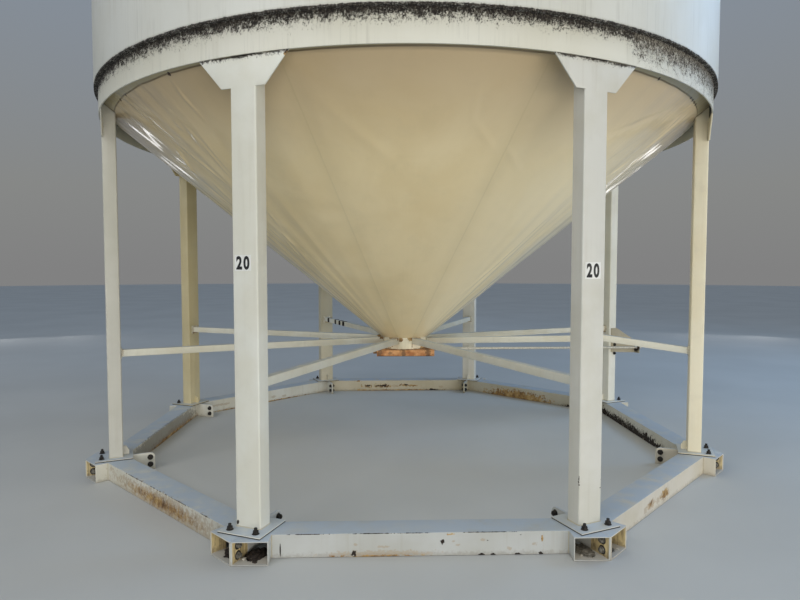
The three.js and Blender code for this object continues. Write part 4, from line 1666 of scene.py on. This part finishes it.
@dataclass
class OutletGate:
    """Outlet collar, slide gate, pull rod and the rod's bracket.

    A collar mark's row gives angle in degrees, height, half width and half height.
    """

    collar_radius: float = 0.204
    collar_wall: float = 0.007
    collar_low: float = 0.790
    collar_top: float = 0.9047
    guide_radius: float = 2.604
    collar_marks: tuple[tuple[float, float, float, float], ...] = (
        (-121.0, 0.893, 0.036, 0.028), (-103.5, 0.895, 0.030, 0.024), (-76.5, 0.895, 0.032, 0.024),
        (-59.0, 0.893, 0.036, 0.028), (-73.8, 0.850, 0.003, 0.03), (-140.0, 0.83, 0.05, 0.03),
        (-40.0, 0.82, 0.05, 0.03), (60.0, 0.85, 0.03, 0.04), (150.0, 0.84, 0.04, 0.03))

    def build(self, bolts: Material) -> None:
        """Builds the outlet's pieces.

        Args:
            bolts: Finish of the bracket's bolts.
        """
        marks = tuple(Mark(math.radians(degrees), (self.collar_radius, 0.0, height), (wide, tall),
                           ragged=1.0) for degrees, height, wide, tall in self.collar_marks)
        collar = PaintedSteel("collar_enamel", srgb(240, 233, 208), srgb(232, 223, 194),
                              runs=0.35, dust_and_sky_tint=0.2, marks=marks)
        Piece.ring("collar_ring", "outlet_collar",
                   (self.collar_radius - self.collar_wall, self.collar_radius),
                   (self.collar_low, self.collar_top), 96, Look(collar.material()))
        Piece.worn("slide_frame", "gate_frame", 0.0012,
                   Look(GateRust().material(), "rusted_steel"))
        plate = RawSteel("plate_rust", srgb(128, 92, 66), srgb(92, 66, 50), 0.5, 0.75, 0.2)
        Piece.worn("slide_plate", "gate_plate", 0.001,
                   Look(plate.material(), "rusted_steel", "gate"))
        rod = RawSteel("rod_steel", srgb(222, 216, 200), srgb(198, 191, 174), 0.04, 0.42, 0.35,
                       coarse=0.4)
        Piece.worn("pull_rod", "gate_rod", 0.0008,
                   Look(rod.material(), "bare_rod", "rod", smooth_below=40))
        turn = leg_turn(4)
        # A dark patch on the bracket at the rod guide's end.
        blot = Mark(turn, (self.guide_radius, -0.113, 0.683), (0.05, 0.07), CHIP, 0.3, 0.008)
        bracket = PaintedSteel("bracket_enamel", srgb(186, 178, 156), srgb(168, 157, 132),
                               runs=0.4, chip_reach=0.004, dust_and_sky_tint=0.3, marks=(blot,))
        Piece.worn("guide_bracket", "rod_bracket", 0.0014, Look(bracket.material()))
        flat = Matrix.Rotation(math.pi / 2, 4, "X")
        places = [upright(turn, 2.331, -0.0833, height) @ flat for height in (0.626, 0.715)]
        Piece.nuts("bracket_bolts", (0.026, 0.011, 0.016, 0.005), places, bolts)
        ring = [turned_place(math.radians(step * 7.5), self.collar_radius + 0.001, 0.0,
                             0.8075 + 0.0035 * noise.noise(Vector((step * 0.55, 0.0, 0.0))))
                for step in range(48)]
        brown = RawSteel("collar_weld_rust", srgb(152, 124, 92), srgb(112, 84, 58), 0.3, 0.8, 0.0)
        Piece.weld("collar_weld", [ring], 0.0036,
                   Look(brown.material(), "rusted_steel", smooth_below=60), seed=8, closed=True)


@dataclass
class Shell:
    """Skirt band, ledge, wall strakes and eave ring of the round wall."""

    radius: float = 2.400
    wall: float = 0.005
    band_radius: float = 2.374
    band_thick: float = 0.008
    band_low: float = 2.560
    band_top: float = 2.7307
    ledge_low: float = 2.731
    ledge_top: float = 2.739
    ledge_inner: float = 2.352
    strake: float = 1.500
    gap: float = 0.0003
    eave: float = 7.2399
    eave_flange: float = 0.046
    eave_thick: float = 0.006
    steps: int = 288
    seam_angles: tuple[float, ...] = (-73.5, -28.5, -51.0)
    lichen_reach: tuple[tuple[float, float], ...] = (
        (0.0, 0.07), (0.10, 0.075), (0.19, 0.068), (0.26, 0.066), (0.31, 0.062), (0.3275, 0.058),
        (0.3285, 0.14), (0.40, 0.15), (0.46, 0.10), (0.55, 0.07), (0.75, 0.06), (1.0, 0.07))

    def build(self, bolts: Material) -> None:
        """Builds the wall from the skirt to the eave.

        Args:
            bolts: Finish of the eave bolts.
        """
        skirt = ShellPaint("skirt_enamel", srgb(216, 214, 202), srgb(210, 207, 192),
                           lichen_top=self.band_top, lichen_below=self.lichen_reach, density=0.12)
        Piece.ring("skirt_ring", "skirt_band",
                   (self.band_radius - self.band_thick, self.band_radius),
                   (self.band_low, self.band_top), self.steps,
                   Look(skirt.material(), "shell_paint"), 6)
        crusted = ShellPaint("ledge_enamel", lichen_top=self.ledge_top, density=0.05)
        Piece.ring("ledge_ring", "wall_ledge", (self.ledge_inner, self.radius),
                   (self.ledge_low, self.ledge_top), self.steps,
                   Look(crusted.material(), "shell_paint"))
        low_wall = ShellPaint("low_wall_enamel", lichen_top=self.ledge_top, rising=True,
                              lichen_below=((0.0, 0.007), (1.0, 0.007)), density=-0.1)
        plain = Look(ShellPaint("wall_enamel").material(), "shell_paint")
        for index in range(3):
            low = self.strake_low(index)
            Piece.ring(f"wall_ring_{index + 1}", f"wall_strake_{index + 1}",
                       (self.radius - self.wall, self.radius), (low, low + self.strake),
                       self.steps, plain if index else Look(low_wall.material(), "shell_paint"), 8)
        self._seams(replace(plain, smooth_below=60))
        self._eave(plain, bolts)

    def strake_low(self, index: int) -> float:
        """Returns the height of the lower edge of wall strake 0 to 2."""
        return self.ledge_top + self.gap + index * (self.strake + self.gap)

    def _seams(self, look: Look) -> None:
        """Welds the wall's sheets, upright and all round.

        Args:
            look: Finish of the welds.
        """
        upright_paths, rounds = [], []
        for index, first in enumerate(self.seam_angles):
            low = self.strake_low(index)
            for quarter in range(4):
                turn = math.radians(first + 90 * quarter)
                upright_paths.append([turned_place(turn, self.radius - 0.0010, 0.0, height)
                                      for height in (low + 0.004, low + self.strake - 0.004)])
            if index:
                rounds.append([turned_place(math.radians(step * 1.25), self.radius - 0.0012, 0.0,
                                            low) for step in range(288)])
        Piece.weld("upright_wall_seams", upright_paths, 0.0028, look, seed=9, pitch=0.02)
        Piece.weld("round_wall_seams", rounds, 0.003, look, seed=10, pitch=0.026, closed=True)

    def _eave(self, look: Look, bolts: Material) -> None:
        """Turns the eave angle ring and bolts the roof to it.

        Args:
            look: Finish of the ring.
            bolts: Finish of the bolts.
        """
        inner = self.radius + self.gap
        outer = inner + self.eave_thick
        lip = self.radius - self.eave_flange
        bottom = self.eave - self.eave_flange
        top = self.eave + self.gap + self.eave_thick
        ring = Piece.turned([(inner, bottom), (outer, bottom), (outer, top), (lip, top),
                             (lip, self.eave + self.gap), (inner, self.eave + self.gap)],
                            self.steps)
        Piece.from_bmesh("eave_angle", ring, look, "eave_ring")
        flat = Matrix.Rotation(math.pi / 2, 4, "Y")
        places = [upright(math.radians(step * 7.5 + 3.75), outer - 0.0005, 0.0,
                          self.eave - 0.022) @ flat for step in range(48)]
        Piece.nuts("eave_bolts", (0.020, 0.008, 0.013, 0.0), places, bolts)


@dataclass
class Roof:
    """Cone roof of lapped sheets, with its fill neck and lid."""

    slope: float = 30.0
    thick: float = 0.005
    eave_radius: float = 2.515
    wall_radius: float = 2.4063
    wall_top: float = 7.2465
    hole: float = 0.3006
    neck_radius: float = 0.300
    neck_wall: float = 0.005
    sheets: int = 16

    def under(self, radius: float) -> float:
        """Returns the height of the roof's underside at a distance from the axis."""
        return self.wall_top + (self.wall_radius - radius) * math.tan(math.radians(self.slope))

    def build(self) -> None:
        """Builds the roof, its laps, the neck and the lid."""
        paint = PaintedSteel("roof_enamel", srgb(214, 212, 200), srgb(202, 198, 180), runs=0.2,
                             chips=0.0, dust_and_sky_tint=0.4)
        look = Look(paint.material(), "roof_paint")
        rise = self.thick / math.cos(math.radians(self.slope))
        low_edge, high_edge = self.under(self.eave_radius), self.under(self.hole)
        bm = Piece.turned([(self.eave_radius, low_edge), (self.eave_radius, low_edge + rise),
                           (self.hole, high_edge + rise), (self.hole, high_edge)],
                          288, [0, 12, 0, 0])
        Piece.from_bmesh("sheet_roof", bm, look, "roof_cone")
        laps = [[turned_place(math.radians(index * 360 / self.sheets + 4), radius, 0.0,
                              self.under(radius) + rise + 0.001)
                 for radius in (self.hole + 0.02, self.eave_radius - 0.012)]
                for index in range(self.sheets)]
        Piece.weld("roof_laps", laps, 0.006, replace(look, smooth_below=60), seed=12, pitch=0.05,
                   sides=2)
        Piece.ring("filling_neck", "fill_neck",
                   (self.neck_radius - self.neck_wall, self.neck_radius),
                   (high_edge - 0.030, high_edge + 0.165), 96, look)
        Piece.worn("filling_lid", "fill_lid", 0.002, replace(look, smooth_below=30))


@dataclass(frozen=True)
class Panel:
    """Soft rectangular studio light."""

    name: str
    place: Place
    target: Place
    size: tuple[float, float]
    power: float
    colour: Colour = (1.0, 1.0, 1.0)

    def build(self) -> None:
        """Hangs the light and points it."""
        data = bpy.data.lights.new(self.name, "AREA")
        data.shape = "RECTANGLE"
        data.size, data.size_y = self.size
        data.energy = self.power
        data.color = self.colour
        lamp = bpy.data.objects.new(self.name, data)
        lamp.location = self.place
        aim = Vector(self.target) - Vector(self.place)
        lamp.rotation_euler = aim.to_track_quat("-Z", "Y").to_euler()
        lamp.visible_camera = False
        bpy.context.scene.collection.objects.link(lamp)


@dataclass
class Studio:
    """Pale floor, soft light and the camera at the photograph's viewpoint."""

    eye: Place = (-0.207, -5.317, 1.485)
    pitch: float = 87.113
    heading: float = -1.798
    lens: float = 27.36
    floor_radius: float = 60.0
    panels: tuple[Panel, ...] = (
        Panel("front_light", (-1.0, -10.0, 8.0), (0.0, 0.0, 2.0), (10.0, 4.0), 186.0,
              (1.0, 1.0, 0.90)),
        Panel("front_left_light", (-7.0, -8.0, 7.0), (0.0, 0.0, 2.0), (5.0, 4.0), 206.0),
        Panel("front_low_light", (3.3, -12.9, 1.1), (0.0, 0.0, 1.8), (12.3, 1.64), 592.0,
              (1.0, 0.96, 0.88)),
        Panel("right_light", (9.3, 1.0, 7.0), (0.0, 0.0, 1.8), (5.0, 4.0), 266.0,
              (0.34, 0.61, 1.0)),
        Panel("right_low_light", (7.5, -5.0, 0.8), (0.0, 0.0, 1.2), (5.0, 0.8), 76.0,
              (1.0, 0.93, 0.80)),
        Panel("left_strip_light", (-7.2, 8.6, 1.0), (-1.5, -1.0, 2.2), (0.22, 1.4), 2.8),
        Panel("left_second_strip_light", (-8.4, 8.0, 0.9), (-1.5, -1.0, 2.2), (0.3, 1.2), 4.0),
        Panel("left_side_strip_light", (-10.4, 3.2, 0.8), (-1.5, -1.0, 2.2), (0.8, 1.0), 14.0),
        Panel("right_strip_light", (7.2, 8.6, 1.4), (1.5, -1.0, 2.2), (0.22, 1.8), 3.6),
        Panel("right_second_strip_light", (8.4, 8.0, 0.9), (1.5, -1.0, 2.2), (0.3, 1.2), 4.0),
        Panel("right_side_strip_light", (10.4, 3.2, 0.8), (1.5, -1.0, 2.2), (0.8, 1.0), 10.0))
    sky: tuple[tuple[float, Colour], ...] = (
        (0.5, (0.22, 0.22, 0.22)), (0.56, (0.24, 0.245, 0.24)), (0.75, (0.23, 0.28, 0.35)))
    sky_strength: float = 1.0

    def build(self) -> None:
        """Sets up the floor, the lights, the world and the camera."""
        self._floor()
        for panel in self.panels:
            panel.build()
        self._air()
        scene = bpy.context.scene
        scene.view_settings.view_transform = "Standard"
        data = bpy.data.cameras.new("photo_view")
        data.lens = self.lens
        data.sensor_width = 36.0
        data.clip_end = 300.0
        camera = bpy.data.objects.new("photo_view", data)
        camera.location = self.eye
        camera.rotation_euler = (math.radians(self.pitch), 0.0, math.radians(self.heading))
        scene.collection.objects.link(camera)
        scene.camera = camera

    def _air(self) -> None:
        """Fills the studio with soft light that is a little brighter overhead."""
        world = bpy.data.worlds.new("studio_air")
        world.use_nodes = True
        graph = Graph(world.node_tree)
        high = graph.parts(graph.add("ShaderNodeTexCoord").outputs["Generated"])[2]
        back = world.node_tree.nodes["Background"].inputs
        graph.feed(back["Color"], graph.ramp(graph.scaled(high, 0.5, 0.5), *self.sky))
        back["Strength"].default_value = self.sky_strength
        bpy.context.scene.world = world

    def _floor(self) -> None:
        """Lays a pale matt floor just under the base ring."""
        bm = bmesh.new()
        bmesh.ops.create_circle(bm, cap_ends=True, segments=64, radius=self.floor_radius,
                                matrix=Matrix.Translation((0, 0, -0.001)))
        mesh = bpy.data.meshes.new("studio_floor")
        bm.to_mesh(mesh)
        bm.free()
        graph = Surface("studio_floor")
        cloud = graph.span(graph.noise(graph.where, 0.6, 4, 0.5), 0.3, 0.7)
        tone = graph.tint(srgb(206, 206, 203), cloud, srgb(199, 199, 196))
        grain = graph.times(graph.noise(graph.where, 160, 2, 0.5), 0.0002)
        mesh.materials.append(graph.finish(tone, 0.85, grain))
        floor = bpy.data.objects.new("studio_floor", mesh)
        bpy.context.scene.collection.objects.link(floor)
        floor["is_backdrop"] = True


def main() -> list[list[float]]:
    """Builds the silo's looks around the frame.

    Returns:
        The frame's box before any piece was added.
    """
    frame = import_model()
    cad_box = [list(corner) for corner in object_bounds()]
    Piece.nodes = frame["nodes"]
    Surface.kit = EffectKit()
    bolts = RawSteel("black_bolts", srgb(58, 54, 50), srgb(36, 33, 31), 0.25, 0.6, 0.4).material()
    grey_bolts = RawSteel("grey_bolts", srgb(142, 139, 130), srgb(98, 94, 88), 0.1, 0.5,
                          0.5).material()
    weld = PaintedSteel("weld_enamel", srgb(206, 201, 184), srgb(188, 178, 150), roughness=0.48,
                        runs=0.0, chip_reach=0.003, dust_and_sky_tint=0.3, splash=0.16,
                        splash_share=0.3).material()
    dirt = Soil("black_dirt", srgb(66, 55, 49), srgb(30, 25, 22)).material()
    grey_dirt = Soil("grey_dirt", srgb(150, 146, 136), srgb(96, 90, 80)).material()
    stones = Soil("pale_stone", srgb(204, 200, 190), srgb(160, 154, 142), 60.0, 0.8).material()
    small = SmallFinishes(bolts, grey_bolts, weld, dirt, grey_dirt, stones)
    Studio().build()
    BaseRing().build(small)
    Legs().build(bolts, weld)
    Struts().build(weld)
    HopperCone().build()
    OutletGate().build(bolts)
    Shell().build(bolts)
    Roof().build()
    return cad_box


if __name__ == "__main__":
    logging.basicConfig(level=logging.INFO, format="%(name)s %(message)s")
    boxes = [main(), [list(corner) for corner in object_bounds()]]
